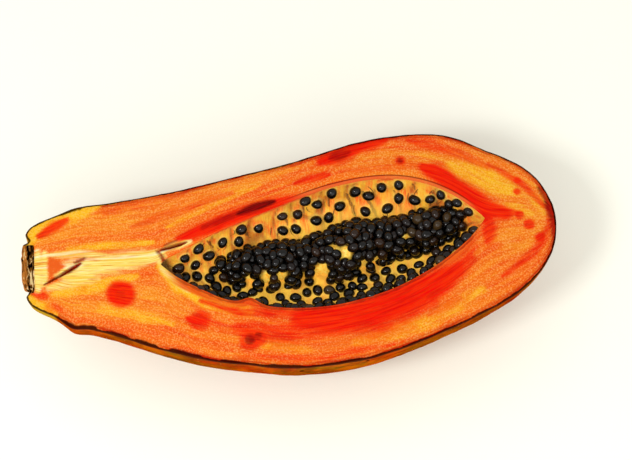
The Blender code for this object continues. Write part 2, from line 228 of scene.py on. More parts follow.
# %% [markdown]
# ## Where the seeds lie
# Seeds line the wall and fill the bottom. Each is drawn at random, and kept only if it isn't too
# close to one already there. The random numbers start from the same value as in the solids, so each
# seed that was fused there gets its real one in the same place. Smaller gaps between the seeds on
# top are filled by more seeds that lie deeper.

# %% Places of the seeds
SEED_LENGTH, SEED_WIDTH, SEED_VARIATION = 0.0062, 0.0051, 0.10
HEAP_SEEDS, HEAP_SEED_SPACING, HEAP_SEED_CROWDING = 100, 0.0053, 0.2
WALL_SEEDS, WALL_SEED_SPACING, UPPER_WALL_SPACING = 112, 0.0064, 0.0088
SEED_SINK, SEED_TILT, SEED_TRIES, PLACING_SEED = 0.30, 30.0, 9000, 11
RIM_MARGIN, TIP_MARGIN, HEAP_MARGIN, HEAP_SEED_MARGIN = 0.0036, 0.008, 0.0035, 0.0070


def seed_middle(place, normal):
    return place + normal * SEED_WIDTH * (0.5 - SEED_SINK)


def free_of(place, others, spacing):
    return all((place - other).length >= spacing for other in others)


def heap_seed_places(draw):
    found = []
    for _ in range(SEED_TRIES):
        x = draw.uniform(HEAP_START_X, HEAP_END_X)
        turn = draw.uniform(0.0, math.pi)
        place = heap_point(x, turn)
        normal = Vector((0, math.cos(turn), math.sin(turn)))
        spacing = HEAP_SEED_SPACING * (1 - HEAP_SEED_CROWDING * len(found) / HEAP_SEEDS)
        if free_of(place, [other for other, _ in found], spacing):
            found.append((place, normal))
        if len(found) == HEAP_SEEDS:
            break
    return found


def heap_gap(place):
    """About how far a point is from the surface of the heap."""
    x = min(HEAP_END_X, max(HEAP_START_X, place.x))
    taper = max(0.05, heap_taper(x))
    floor = cavity_point(x, -math.pi / 2).z
    across = (place.y - cavity_middle(x) - HEAP_OFFSET) / (HEAP_HALF_WIDTH * taper)
    up = (place.z - floor - HEAP_FLOOR_GAP) / (HEAP_HALF_HEIGHT * taper)
    return (math.hypot(across, up) - 1) * min(HEAP_HALF_WIDTH, HEAP_HALF_HEIGHT) * taper


def wall_spacing(turn):
    share = smoothstep(2 * (1 + math.sin(turn)) * max(0.0, math.cos(turn)))
    return WALL_SEED_SPACING + (UPPER_WALL_SPACING - WALL_SEED_SPACING) * share


def wall_seed_places(draw, heap_seeds):
    found = []
    for _ in range(SEED_TRIES):
        x = draw.uniform(CAVITY_STEM_X + TIP_MARGIN, CAVITY_BLOSSOM_X - TIP_MARGIN)
        turn = -draw.uniform(0.0, math.pi)
        place, normal = cavity_point(x, turn), cavity_normal(x, turn)
        middle = seed_middle(place, normal)
        if place.z > CUT_Z - RIM_MARGIN or heap_gap(middle) < HEAP_MARGIN:
            continue
        alone = free_of(place, [other for other, _ in found], wall_spacing(turn))
        if alone and free_of(middle, heap_seeds, HEAP_SEED_MARGIN):
            found.append((place, normal))
        if len(found) == WALL_SEEDS:
            break
    return found


def laid(places, draw):
    """Middle, turning and size of a seed at each place."""
    seeds = []
    for place, normal in places:
        size = 1 + draw.uniform(-SEED_VARIATION, SEED_VARIATION)
        tilt = math.radians(90 + draw.uniform(-SEED_TILT, SEED_TILT))
        lying = Euler((tilt, 0, draw.uniform(0, math.tau)))
        turned = normal.to_track_quat("Z", "Y") @ lying.to_quaternion()
        seeds.append((seed_middle(place, normal), turned, size))
    return seeds


draw = random.Random(PLACING_SEED)
heap_places = heap_seed_places(draw)
wall_places = wall_seed_places(draw, [seed_middle(*spot) for spot in heap_places])
wall_seeds = laid(wall_places, draw)
heap_seeds = laid(heap_places, draw)
print(len(heap_seeds), "seeds on the heap,", len(wall_seeds), "on the wall")

# %% More seeds, between those of the solids
HEAP_FILLING = ((0.0004, 0.0046, 110), (0.0026, 0.0042, 120))
SIDE_SEEDS, SIDE_SPACING, SIDE_THINNING = 62, 0.0062, 0.45
SIDE_RIM_MARGIN, SIDE_HEAP_MARGIN = 0.0030, 0.0016
TIP_START_X, TIP_SPACING = 0.082, 0.0054
BARE_SPOTS = (
    (0.024, 0.008, 0.0034), (0.030, 0.005, 0.0042), (0.064, 0.012, 0.0028), (0.047, 0.0025, 0.0036),
    (0.030, -0.005, 0.0036), (0.037, -0.0048, 0.0040), (0.050, -0.0073, 0.0038), (0.074, 0.0009, 0.0036),
    (0.101, 0.013, 0.0044), (0.006, -0.013, 0.0048), (0.015, -0.014, 0.0048), (-0.012, -0.015, 0.0054),
    (-0.030, -0.010, 0.0050), (-0.022, -0.0135, 0.0044), (-0.003, -0.0165, 0.0046), (0.024, -0.012, 0.0044),
    (0.060, -0.004, 0.0036), (0.086, 0.0065, 0.0036), (-0.036, 0.008, 0.0034),
    (-0.016, -0.008, 0.0034), (0.002, -0.0075, 0.0032), (0.0195, -0.0075, 0.0034), (0.040, 0.0005, 0.0030),
    (0.018, -0.001, 0.0038), (0.013, -0.0025, 0.0034), (-0.006, -0.0045, 0.0038), (-0.014, -0.0045, 0.0034),
    (-0.024, -0.0055, 0.0036), (0.006, -0.004, 0.0030),
)
BARE_BELOW = 0.034


def bare(place):
    """Whether a place is in one of the gaps where the yellow membrane shows."""
    return any(math.hypot(place.x - x, place.y - y) < reach for x, y, reach in BARE_SPOTS)


def more_heap_seeds(draw, taken, sunk, spacing, wanted):
    """Seeds pressed into the gaps of the heap, at one depth."""
    found = []
    for _ in range(SEED_TRIES):
        x, turn = draw.uniform(HEAP_START_X, HEAP_END_X), draw.uniform(-0.3, math.pi + 0.3)
        place = heap_point(x, turn, sunk)
        if not bare(place) and free_of(place, taken + [other for other, _ in found], spacing):
            found.append((place, Vector((0, math.cos(turn), math.sin(turn)))))
        if len(found) == wanted:
            break
    return found


def more_wall_seeds(draw, taken):
    """Seeds in the gaps of the floor and of the near wall, and all round the blossom end."""
    found = []
    for _ in range(SEED_TRIES):
        x = draw.uniform(CAVITY_STEM_X + 0.005, CAVITY_BLOSSOM_X - 0.005)
        turn = -math.pi * draw.uniform(0.10 if x > TIP_START_X else 0.36, 0.97)
        place, normal = cavity_point(x, turn), cavity_normal(x, turn)
        middle = seed_middle(place, normal)
        if place.z > CUT_Z - SIDE_RIM_MARGIN or bare(place) or heap_gap(middle) < SIDE_HEAP_MARGIN:
            continue
        spacing = SIDE_SPACING * (1.0 + SIDE_THINNING * smoothstep((0.025 - x) / 0.040))
        spacing = TIP_SPACING if x > TIP_START_X else spacing
        if free_of(middle, taken + [seed_middle(*other) for other in found], spacing):
            found.append((place, normal))
        if len(found) == SIDE_SEEDS:
            break
    return found


heap_seeds = [seed for seed in heap_seeds if not bare(seed[0]) or seed[0].z < BARE_BELOW]
draw = random.Random(5)
heap_filling = []
for sunk, spacing, wanted in HEAP_FILLING:
    taken = [seed[0] for seed in heap_seeds + heap_filling]
    heap_filling += laid(more_heap_seeds(draw, taken, sunk, spacing, wanted), draw)
taken = [seed[0] for seed in heap_seeds + heap_filling + wall_seeds]
side_places = more_wall_seeds(draw, taken)
side_seeds = laid(side_places, draw)
print("seeds of the solid heap kept:", len(heap_seeds))
print("seeds added:", len(heap_filling), "in the heap,", len(side_seeds), "beside it")

# %% [markdown]
# ## A mesh kept in rows
# The fruit becomes one closed mesh: skin, rounded rim, cut face, rounded lip and cavity wall, each
# sewn to the next. Rows of points make that simple, because two rows that share their count are
# joined by a strip of four-sided faces. Each strip also notes which finish it gets.

# %% Helpers that collect points and faces
SKIN, FLESH, WALL = 0, 1, 2
points, faces, finishes = [], [], []


def add_points(block):
    """Stores an array of points and returns their numbers in the same arrangement."""
    block = np.asarray(block, float)
    start = len(points)
    points.extend(map(tuple, block.reshape(-1, 3)))
    return np.arange(start, len(points)).reshape(block.shape[:-1])


def add_strip(first, second, finish, closed=False):
    """A strip of four-sided faces between two rows."""
    if closed:
        first, second = np.append(first, first[0]), np.append(second, second[0])
    for corners in zip(first[:-1], first[1:], second[1:], second[:-1]):
        faces.append(corners)
        finishes.append(finish)


def smooth_array(u):
    u = np.clip(u, 0.0, 1.0)
    return u * u * (3 - 2 * u)


def rough(places, size, detail=2):
    """Smooth noise between about -1 and 1 at each place, with lumps of this size."""
    return np.array([noise.fractal(Vector(p) / size, 1.0, 2.0, detail) for p in places])


def grid_normals(grid):
    """The direction square to a grid of points, at each of them."""
    along, around = np.gradient(grid, axis=0), np.gradient(grid, axis=1)
    normals = np.cross(along, around)
    return normals / np.maximum(1e-12, np.linalg.norm(normals, axis=2, keepdims=True))


def row_normals(loop):
    """The outward direction in the plane of the cut along a closed row that runs clockwise from above."""
    ahead = np.roll(loop[:, :2], -1, axis=0) - np.roll(loop[:, :2], 1, axis=0)
    ahead /= np.maximum(1e-12, np.linalg.norm(ahead, axis=1, keepdims=True))
    return np.stack([-ahead[:, 1], ahead[:, 0], np.zeros(len(ahead))], axis=1)


# %% [markdown]
# ## Skin and rim
# Ripe skin is thin and smooth but never even: it is a little lumpy, and the knife leaves a crisp edge
# with a very small rounding. The lumps are real relief in the mesh, so that the outline shows them
# from every side. Where the fruit rests, the skin stays pressed flat.

# %% Skin
SKIN_RINGS, SKIN_SIDES = 330, 132
RIM_ROUND = 0.0005
LUMP_SIZE, LUMP_HEIGHT = 0.016, 0.00035
DIMPLE_SIZE, DIMPLE_HEIGHT = 0.0038, 0.00010
SCAR_X, SCAR_HALF_WIDTH, SCAR_MIDDLE = -0.1425, 0.0135, 0.0015

turns = [-math.pi * side / SKIN_SIDES for side in range(SKIN_SIDES + 1)]
skin = np.array([
    [skin_point(*outline_at(ring / SKIN_RINGS), turn) for turn in turns] for ring in range(SKIN_RINGS + 1)
])
outward = grid_normals(skin)
middle = np.array([(x, sway(x), CUT_Z) for x in skin[:, 0, 0]])[:, None]
outward *= np.sign(np.sum(outward * (skin - middle), axis=2, keepdims=True) + 1e-9)
flat = skin.reshape(-1, 3)
relief = LUMP_HEIGHT * rough(flat, LUMP_SIZE) + DIMPLE_HEIGHT * rough(flat, DIMPLE_SIZE)
scar = smooth_array((SCAR_X - flat[:, 0]) / 0.0012)
scar *= smooth_array((SCAR_HALF_WIDTH - np.abs(flat[:, 1] - SCAR_MIDDLE)) / 0.002)
relief += scar * (0.0005 * rough(flat * (1, 0.5, 2.0), 0.0030) - 0.0002)
edges = smooth_array(np.arange(SKIN_RINGS + 1) / 6) * smooth_array(np.arange(SKIN_RINGS, -1, -1) / 6)
skin += outward * relief.reshape(skin.shape[:2])[..., None] * np.maximum(edges, 0.25)[:, None, None]
skin[0], skin[-1] = skin[0].mean(axis=0), skin[-1].mean(axis=0)
skin[..., 2] -= RIM_ROUND * (1 - smooth_array((CUT_Z - skin[..., 2]) / 0.004))
skin[..., 2] = np.maximum(skin[..., 2], 0.0)

skin_ids = add_points(skin)
for first, second in zip(skin_ids[:-1], skin_ids[1:]):
    add_strip(first, second, SKIN)
print("skin:", len(skin_ids.ravel()), "points")

# %% Rim of the knife cut
RIM_ROWS = 3

rim_ids = np.concatenate([skin_ids[:, 0], skin_ids[-2:0:-1, -1]])
rim = np.array(points)[rim_ids]
rim[:, 2] = CUT_Z - RIM_ROUND
rim_out = row_normals(rim)
last = rim_ids
for row in range(1, RIM_ROWS + 1):
    lean = math.pi / 2 * row / RIM_ROWS
    placed = rim - rim_out * RIM_ROUND * (1 - math.cos(lean))
    placed[:, 2] = CUT_Z - RIM_ROUND * (1 - math.sin(lean))
    row_ids = add_points(placed)
    add_strip(last, row_ids, SKIN if row < RIM_ROWS else FLESH, closed=True)
    last = row_ids
rim_inner_ids, rim_inner = last, placed
print("rim:", len(rim_ids), "points round")

# %% [markdown]
# ## Cavity wall and lip
# The wall is soft and thrown into folds that run down it, with a fine crease between them, and it
# rises in a small collar round each seed. The lip, where the wall turns into the cut face, is
# rounded: broad on the near side, narrow on the far side. A grid that follows the cavity from tip to
# tip lets all of this be a small shift along the wall's own direction.

# %% Level of the knife cut on the cavity wall
WALL_RINGS, WALL_SIDES = 210, 92


def cavity_tip(x, inside):
    """How far along the cavity wall rises through the knife cut, between a tip and a place inside."""
    for _ in range(40):
        between = (x + inside) / 2
        if cavity_point(between, -math.pi / 2).z < CUT_Z:
            inside = between
        else:
            x = between
    return inside


def cut_turn(x, side):
    """The turn at which the wall passes the knife cut, on the far side (+1) or the near side (-1)."""
    low, high = 0.0, math.pi / 2
    for _ in range(32):
        between = (low + high) / 2
        if cavity_point(x, -between if side > 0 else between - math.pi).z > CUT_Z:
            low = between
        else:
            high = between
    return -low if side > 0 else low - math.pi


tip_xs = cavity_tip(CAVITY_STEM_X, 0.0), cavity_tip(CAVITY_BLOSSOM_X, 0.0)
along = (1 - np.cos(np.linspace(0, math.pi, WALL_RINGS + 1))) / 2
wall_xs = tip_xs[0] + (tip_xs[1] - tip_xs[0]) * along
wall = np.zeros((WALL_RINGS + 1, WALL_SIDES + 1, 3))
for ring, x in enumerate(wall_xs):
    start, end = cut_turn(x, 1), cut_turn(x, -1)
    for side in range(WALL_SIDES + 1):
        wall[ring, side] = cavity_point(x, start + (end - start) * side / WALL_SIDES)
wall[0], wall[-1] = wall[0].mean(axis=0), wall[-1].mean(axis=0)
print(f"the cavity opens from x {1000 * tip_xs[0]:.1f} to {1000 * tip_xs[1]:.1f} mm")

# %% Folds, creases and collars of the wall
LIP_SINK, FAR_LIP_ROUND, NEAR_LIP_ROUND, TIP_LIP_ROUND = 0.0003, 0.0003, 0.0012, 0.00025
FOLD_RISE, CREASE_DROP, COLLAR_RISE = 0.0007, 0.0008, 0.0006
LIP_BULGE = (
    (-0.070, 0.0), (-0.060, 0.0016), (-0.045, 0.0020), (-0.028, 0.0018), (-0.008, 0.0013),
    (0.012, 0.0010), (0.035, 0.0005), (0.055, 0.0), (0.107, 0.0),
)
LIP_BULGE_DEPTH = 0.010

all_wall_places = wall_places + side_places
wall_seed_tree = kdtree.KDTree(len(all_wall_places))
for number, (place, _) in enumerate(all_wall_places):
    wall_seed_tree.insert(place, number)
wall_seed_tree.balance()


def wall_turn(places):
    """The turn round the cavity's middle line, from 0 at the far lip to pi at the near one."""
    taper = np.array([cavity_taper(x) for x in places[:, 0]])
    middle = np.array([cavity_middle(x) for x in places[:, 0]])
    half = np.maximum(1e-4, CAVITY_HALF_WIDTH * taper)
    deep = np.maximum(1e-4, (CAVITY_DEPTH + CAVITY_MIDDLE_RISE) * np.sqrt(taper))
    return np.arctan2((CUT_Z + CAVITY_MIDDLE_RISE - places[:, 2]) / deep, (places[:, 1] - middle) / half)


def crease_mask(places):
    """Fine creases that run down the wall, 8 to 15 mm apart."""
    turn = wall_turn(places)
    along = places[:, 0] * 95 + 0.5 * np.sin(2.3 * turn)
    drift = np.stack([along, turn * 0.9, np.full(len(turn), 4.1)], axis=1)
    value = np.array([noise.noise(Vector(p)) for p in drift])
    return smooth_array(1 - np.abs(value) * 9)


flat = wall.reshape(-1, 3)
lowered = smooth_array((CUT_Z - flat[:, 2]) / 0.006)
turn = wall_turn(flat)
folds = np.array([
    noise.noise(Vector((x * 120 + 0.6 * math.sin(2 * t), t * 0.8, 9.3))) for x, t in zip(flat[:, 0], turn)
])
away = np.array([wall_seed_tree.find(Vector(p))[2] for p in flat])
shift = lowered * (FOLD_RISE * folds - CREASE_DROP * crease_mask(flat) + 0.00018 * rough(flat, 0.0028))
shift += COLLAR_RISE * lowered * np.exp(-(((away - 0.0030) / 0.0012) ** 2))
inward = grid_normals(wall)
centre = np.array([(x, cavity_middle(x), CUT_Z) for x in wall_xs])[:, None]
inward *= np.sign(np.sum(inward * (centre - wall), axis=2, keepdims=True) + 1e-9)
wall += inward * shift.reshape(wall.shape[:2])[..., None]
tips = smooth_array(np.minimum(wall[..., 0] - tip_xs[0], tip_xs[1] - wall[..., 0]) / 0.010)
near = smooth_array(2.5 * (np.linspace(0, 1, WALL_SIDES + 1) - 0.5))
lip_round = TIP_LIP_ROUND + tips * (FAR_LIP_ROUND + (NEAR_LIP_ROUND - FAR_LIP_ROUND) * near)
bulge = np.interp(wall[..., 0], *zip(*LIP_BULGE)) * near
wall[..., 1] += bulge * (1 - smooth_array((CUT_Z - wall[..., 2]) / LIP_BULGE_DEPTH))
wall[..., 2] -= (lip_round + LIP_SINK) * (1 - smooth_array((CUT_Z - wall[..., 2]) / 0.008))

wall_ids = add_points(wall)
for first, second in zip(wall_ids[:-1], wall_ids[1:]):
    add_strip(first, second, WALL)
print("wall:", len(wall_ids.ravel()), "points")

# %% Lip of the cavity
LIP_ROWS = 5

lip_ids = np.concatenate([wall_ids[:, 0], wall_ids[-2:0:-1, -1]])
lip_size = np.concatenate([lip_round[:, 0], lip_round[-2:0:-1, -1]])
lip = np.array(points)[lip_ids]
lip_out = row_normals(lip)
last = lip_ids
for row in range(1, LIP_ROWS + 1):
    lean = math.pi / 2 * row / LIP_ROWS
    placed = lip + lip_out * (lip_size * (1 - math.cos(lean)))[:, None]
    placed[:, 2] = CUT_Z - LIP_SINK - lip_size * (1 - math.sin(lean))
    row_ids = add_points(placed)
    add_strip(last, row_ids, FLESH, closed=True)
    last = row_ids
lip_outer_ids, lip_outer = last, placed
print("lip:", len(lip_ids), "points round")

# %% [markdown]
# ## The cut face
# A knife leaves a nearly flat face, so it is a sheet of triangles between the rim and the lip. Its
# points lie on a slightly shaken honeycomb, closer together near the two splits, and a Delaunay
# triangulation joins them with both borders kept. Distances to the borders then shape it: it sinks a
# little to the lip, and fades to level at the rim.

# %% Distances to the rim and to the lip
def loop_tree(loop):
    """A search tree over a closed row of points, made five times as fine."""
    following = np.roll(loop, -1, axis=0)
    fine = np.concatenate([loop + (following - loop) * part / 5 for part in range(5)])
    tree = kdtree.KDTree(len(fine))
    for number, place in enumerate(fine):
        tree.insert((place[0], place[1], 0.0), number)
    tree.balance()
    return tree


rim_tree, lip_tree = loop_tree(rim_inner), loop_tree(lip_outer)


def distances(places, tree):
    return np.array([tree.find((p[0], p[1], 0.0))[2] for p in places])


def inside(places, loop):
    """Which places lie inside a closed row, by counting how often a line from each crosses it."""
    ax, ay = loop[:, 0], loop[:, 1]
    bx, by = np.roll(ax, -1), np.roll(ay, -1)
    odd = np.zeros(len(places), bool)
    for start in range(0, len(places), 4000):
        x, y = places[start:start + 4000, 0:1], places[start:start + 4000, 1:2]
        crosses = (ay > y) != (by > y)
        at = ax + (y - ay) * (bx - ax) / np.where(by == ay, 1e-12, by - ay)
        odd[start:start + 4000] = (crosses & (x < at)).sum(axis=1) % 2 == 1
    return odd


# %% Splits and honeycomb points
FACE_SPACING, SPLIT_SPACING = 0.00115, 0.00034
SPLITS = (
    (Vector((-0.1233, -0.0027)), 0.0212, 0.0016, 0.006, 27.0),
    (Vector((-0.0626, 0.0089)), 0.0142, 0.0018, 0.007, 13.0),
)


def split_places(places, split):
    """Each place in the split's own measure: 1 at its ends and at its sides."""
    middle, length, width, _, heading = split
    turn = math.radians(heading)
    x, y = places[:, 0] - middle.x, places[:, 1] - middle.y
    along, across = x * math.cos(turn) + y * math.sin(turn), y * math.cos(turn) - x * math.sin(turn)
    return along / (length / 2), across / (width / 2)


draw = np.random.default_rng(3)
columns = np.arange(STEM_X, BLOSSOM_X, FACE_SPACING)
rows = np.arange(-0.075, 0.075, FACE_SPACING * math.sqrt(3) / 2)
comb = np.array([(x + (number % 2) * FACE_SPACING / 2, y) for number, y in enumerate(rows) for x in columns])
comb += draw.uniform(-0.16, 0.16, comb.shape) * FACE_SPACING
near_split = np.zeros(len(comb), bool)
fine = []
for split in SPLITS:
    along, across = split_places(comb, split)
    near_split |= (np.abs(along) < 1.16) & (np.abs(across) < 3.4)
    middle, length, width, _, heading = split
    turn = math.radians(heading)
    for across in np.arange(-3.1, 3.2, 2 * SPLIT_SPACING / width):
        for along in np.arange(-1.12, 1.13, 4 * SPLIT_SPACING / length):
            u, v = along * length / 2, across * width / 2
            x = middle.x + u * math.cos(turn) - v * math.sin(turn)
            fine.append((x, middle.y + u * math.sin(turn) + v * math.cos(turn)))
comb = np.concatenate([comb[~near_split], np.array(fine)])
comb = comb[inside(comb, rim_inner) & ~inside(comb, lip_outer)]
comb = comb[(distances(comb, rim_tree) > 0.6 * FACE_SPACING) & (distances(comb, lip_tree) > 0.0004)]
print("cut face:", len(comb), "points inside its borders")

# %% Cut face
rim_count, lip_count = len(rim_inner), len(lip_outer)
flat = [Vector(p[:2]) for p in (*rim_inner, *lip_outer, *comb)]
border = [(i, (i + 1) % rim_count) for i in range(rim_count)]
border += [(rim_count + i, rim_count + (i + 1) % lip_count) for i in range(lip_count)]
joined = geometry.delaunay_2d_cdt(flat, border, [], 0, 1e-7)
face_places = np.array([(*p, CUT_Z) for p in joined[0]])
centres = np.array([face_places[list(corner)].mean(axis=0) for corner in joined[2]])
kept = inside(centres, rim_inner) & ~inside(centres, lip_outer)
print("cut face:", int(kept.sum()), "triangles")

# %% [markdown]
# The fibres of the flesh run lengthwise, round the cavity and together again at both ends. A place's
# flow holds how far along it is and its share of the way from cavity to skin, in millimetres. Noise
# that is stretched along this flow gives strands that bend with the fruit.

# %% Flow of the fibres
def core_middle(x):
    """The middle line of the core, from the stem scar through the cavity to the blossom tip."""
    if x < tip_xs[0]:
        stem = cavity_middle(tip_xs[0])
        return stem + (0.0012 - stem) * smoothstep((tip_xs[0] - x) / 0.065)
    if x > tip_xs[1]:
        blossom = cavity_middle(tip_xs[1])
        return blossom + (sway(BLOSSOM_X) - blossom) * smoothstep((x - tip_xs[1]) / 0.040)
    return cavity_middle(x)


FLOW_WIDTH, FLOW_STEP, FLOW_EASING = 34.0, 0.001, 7.0

flow_xs = np.arange(STEM_X - 0.02, BLOSSOM_X + 0.02, FLOW_STEP)
flow_middle = np.array([core_middle(x) for x in flow_xs])
bell = np.exp(-((np.arange(-24, 25) / FLOW_EASING) ** 2))
order = np.argsort(skin[:, 0, 0])
skin_gaps, wall_gaps = [], []
for side, column in ((1, 0), (-1, -1)):
    skin_y = np.interp(flow_xs, skin[order, 0, 0], skin[order, column, 1])
    skin_gaps.append(side * (skin_y - flow_middle))
    wall_y = side * (np.interp(flow_xs, wall_xs, wall[:, column, 1]) - flow_middle)
    hollow = np.where((flow_xs > tip_xs[0]) & (flow_xs < tip_xs[1]), wall_y, 0.0)
    wall_gaps.append(np.convolve(hollow, bell / bell.sum(), mode="same"))


def cut_flow(places):
    x = places[:, 0]
    across = places[:, 1] - np.interp(x, flow_xs, flow_middle)
    far = across > 0
    from_middle = np.abs(across)
    to_skin = np.where(far, np.interp(x, flow_xs, skin_gaps[0]), np.interp(x, flow_xs, skin_gaps[1]))
    to_wall = np.where(far, np.interp(x, flow_xs, wall_gaps[0]), np.interp(x, flow_xs, wall_gaps[1]))
    to_wall = np.maximum(1e-5, to_wall)
    from_wall = from_middle - to_wall * (1 - np.exp(-3 * (from_middle / to_wall) ** 2))
    share = np.clip(from_wall / np.maximum(0.004, to_skin - to_wall), -0.2, 1.2)
    return np.stack([1000 * x, np.sign(across) * share * FLOW_WIDTH, np.zeros(len(x))], axis=1)


# %% Relief of the cut face
FIBRE_HEIGHT, WAVE_HEIGHT = 0.00006, 0.00018
CORK_X, CORK_HALF_WIDTH, CORK_MIDDLE = -0.1378, 0.0150, 0.0018

from_rim, from_lip = distances(face_places, rim_tree), distances(face_places, lip_tree)
free = smooth_array(from_rim / 0.002) * smooth_array(from_lip / 0.0012)
flow = cut_flow(face_places)
height = WAVE_HEIGHT * rough(face_places, 0.020) * free
height += FIBRE_HEIGHT * rough(flow * (0.05, 0.55, 1.0), 1.0) * free
height -= LIP_SINK * (1 - smooth_array(from_lip / 0.006))
for split in SPLITS:
    along, across = split_places(face_places, split)
    reach = np.hypot(along, across)
    height -= split[3] / 2 * np.sqrt(np.clip(1 - reach**2, 0.0, 1.0))
    height += 0.00022 * np.exp(-(((reach - 1.15) / 0.35) ** 2)) * (np.abs(along) < 1.1)
cork_band = smooth_array((CORK_X - face_places[:, 0]) / 0.0015)
cork_band *= smooth_array((CORK_HALF_WIDTH - np.abs(face_places[:, 1] - CORK_MIDDLE)) / 0.0025)
height += cork_band * free * 0.00055 * rough(face_places * (1.6, 0.45, 1.0), 0.0021)
face_places[:, 2] += height

border_ids = [*rim_inner_ids, *lip_outer_ids]
face_ids = np.zeros(len(face_places), int)
sewn = 0
for i, place in enumerate(face_places):
    at_border = [old for old in joined[3][i] if old < len(border_ids)]
    if at_border:
        face_ids[i] = border_ids[at_border[0]]
        sewn += 1
    else:
        face_ids[i] = add_points([place])[0]
for corner, keep in zip(joined[2], kept):
    if keep:
        faces.append(tuple(face_ids[list(corner)]))
        finishes.append(FLESH)
print(sewn, "of", len(border_ids), "border points sewn")

# %% Fruit mesh
def new_piece(name, mesh):
    piece = bpy.data.objects.new(name, mesh)
    bpy.context.scene.collection.objects.link(piece)
    return piece


mesh = bpy.data.meshes.new("papaya_flesh")
mesh.from_pydata(points, [], [tuple(dict.fromkeys(int(i) for i in face)) for face in faces])
mesh.polygons.foreach_set("material_index", finishes)
bm = bmesh.new()
bm.from_mesh(mesh)
bmesh.ops.remove_doubles(bm, verts=bm.verts, dist=2e-7)
bmesh.ops.delete(bm, geom=[v for v in bm.verts if not v.link_faces], context="VERTS")
bmesh.ops.recalc_face_normals(bm, faces=bm.faces)
open_edges = sum(1 for link in bm.edges if len(link.link_faces) != 2)
bm.to_mesh(mesh)
bm.free()
mesh.shade_smooth()
fruit = new_piece("papaya_flesh", mesh)
places = np.empty(3 * len(mesh.vertices))
mesh.vertices.foreach_get("co", places)
places = places.reshape(-1, 3)
print("fruit:", len(mesh.polygons), "faces,", open_edges, "open edges")

# %% [markdown]
# ## Where the colours lie
# Ripe flesh isn't one orange. It is yellower at the stem and under the skin, vivid red near the
# cavity, and it has soft red bruises. Each is a stroke of a brush: a line of places in millimetres,
# with a radius and a strength. Strokes of one kind make one mask, stored at the mesh's points, and
# the material frays its border with noise. Painting in code like this needs no picture.

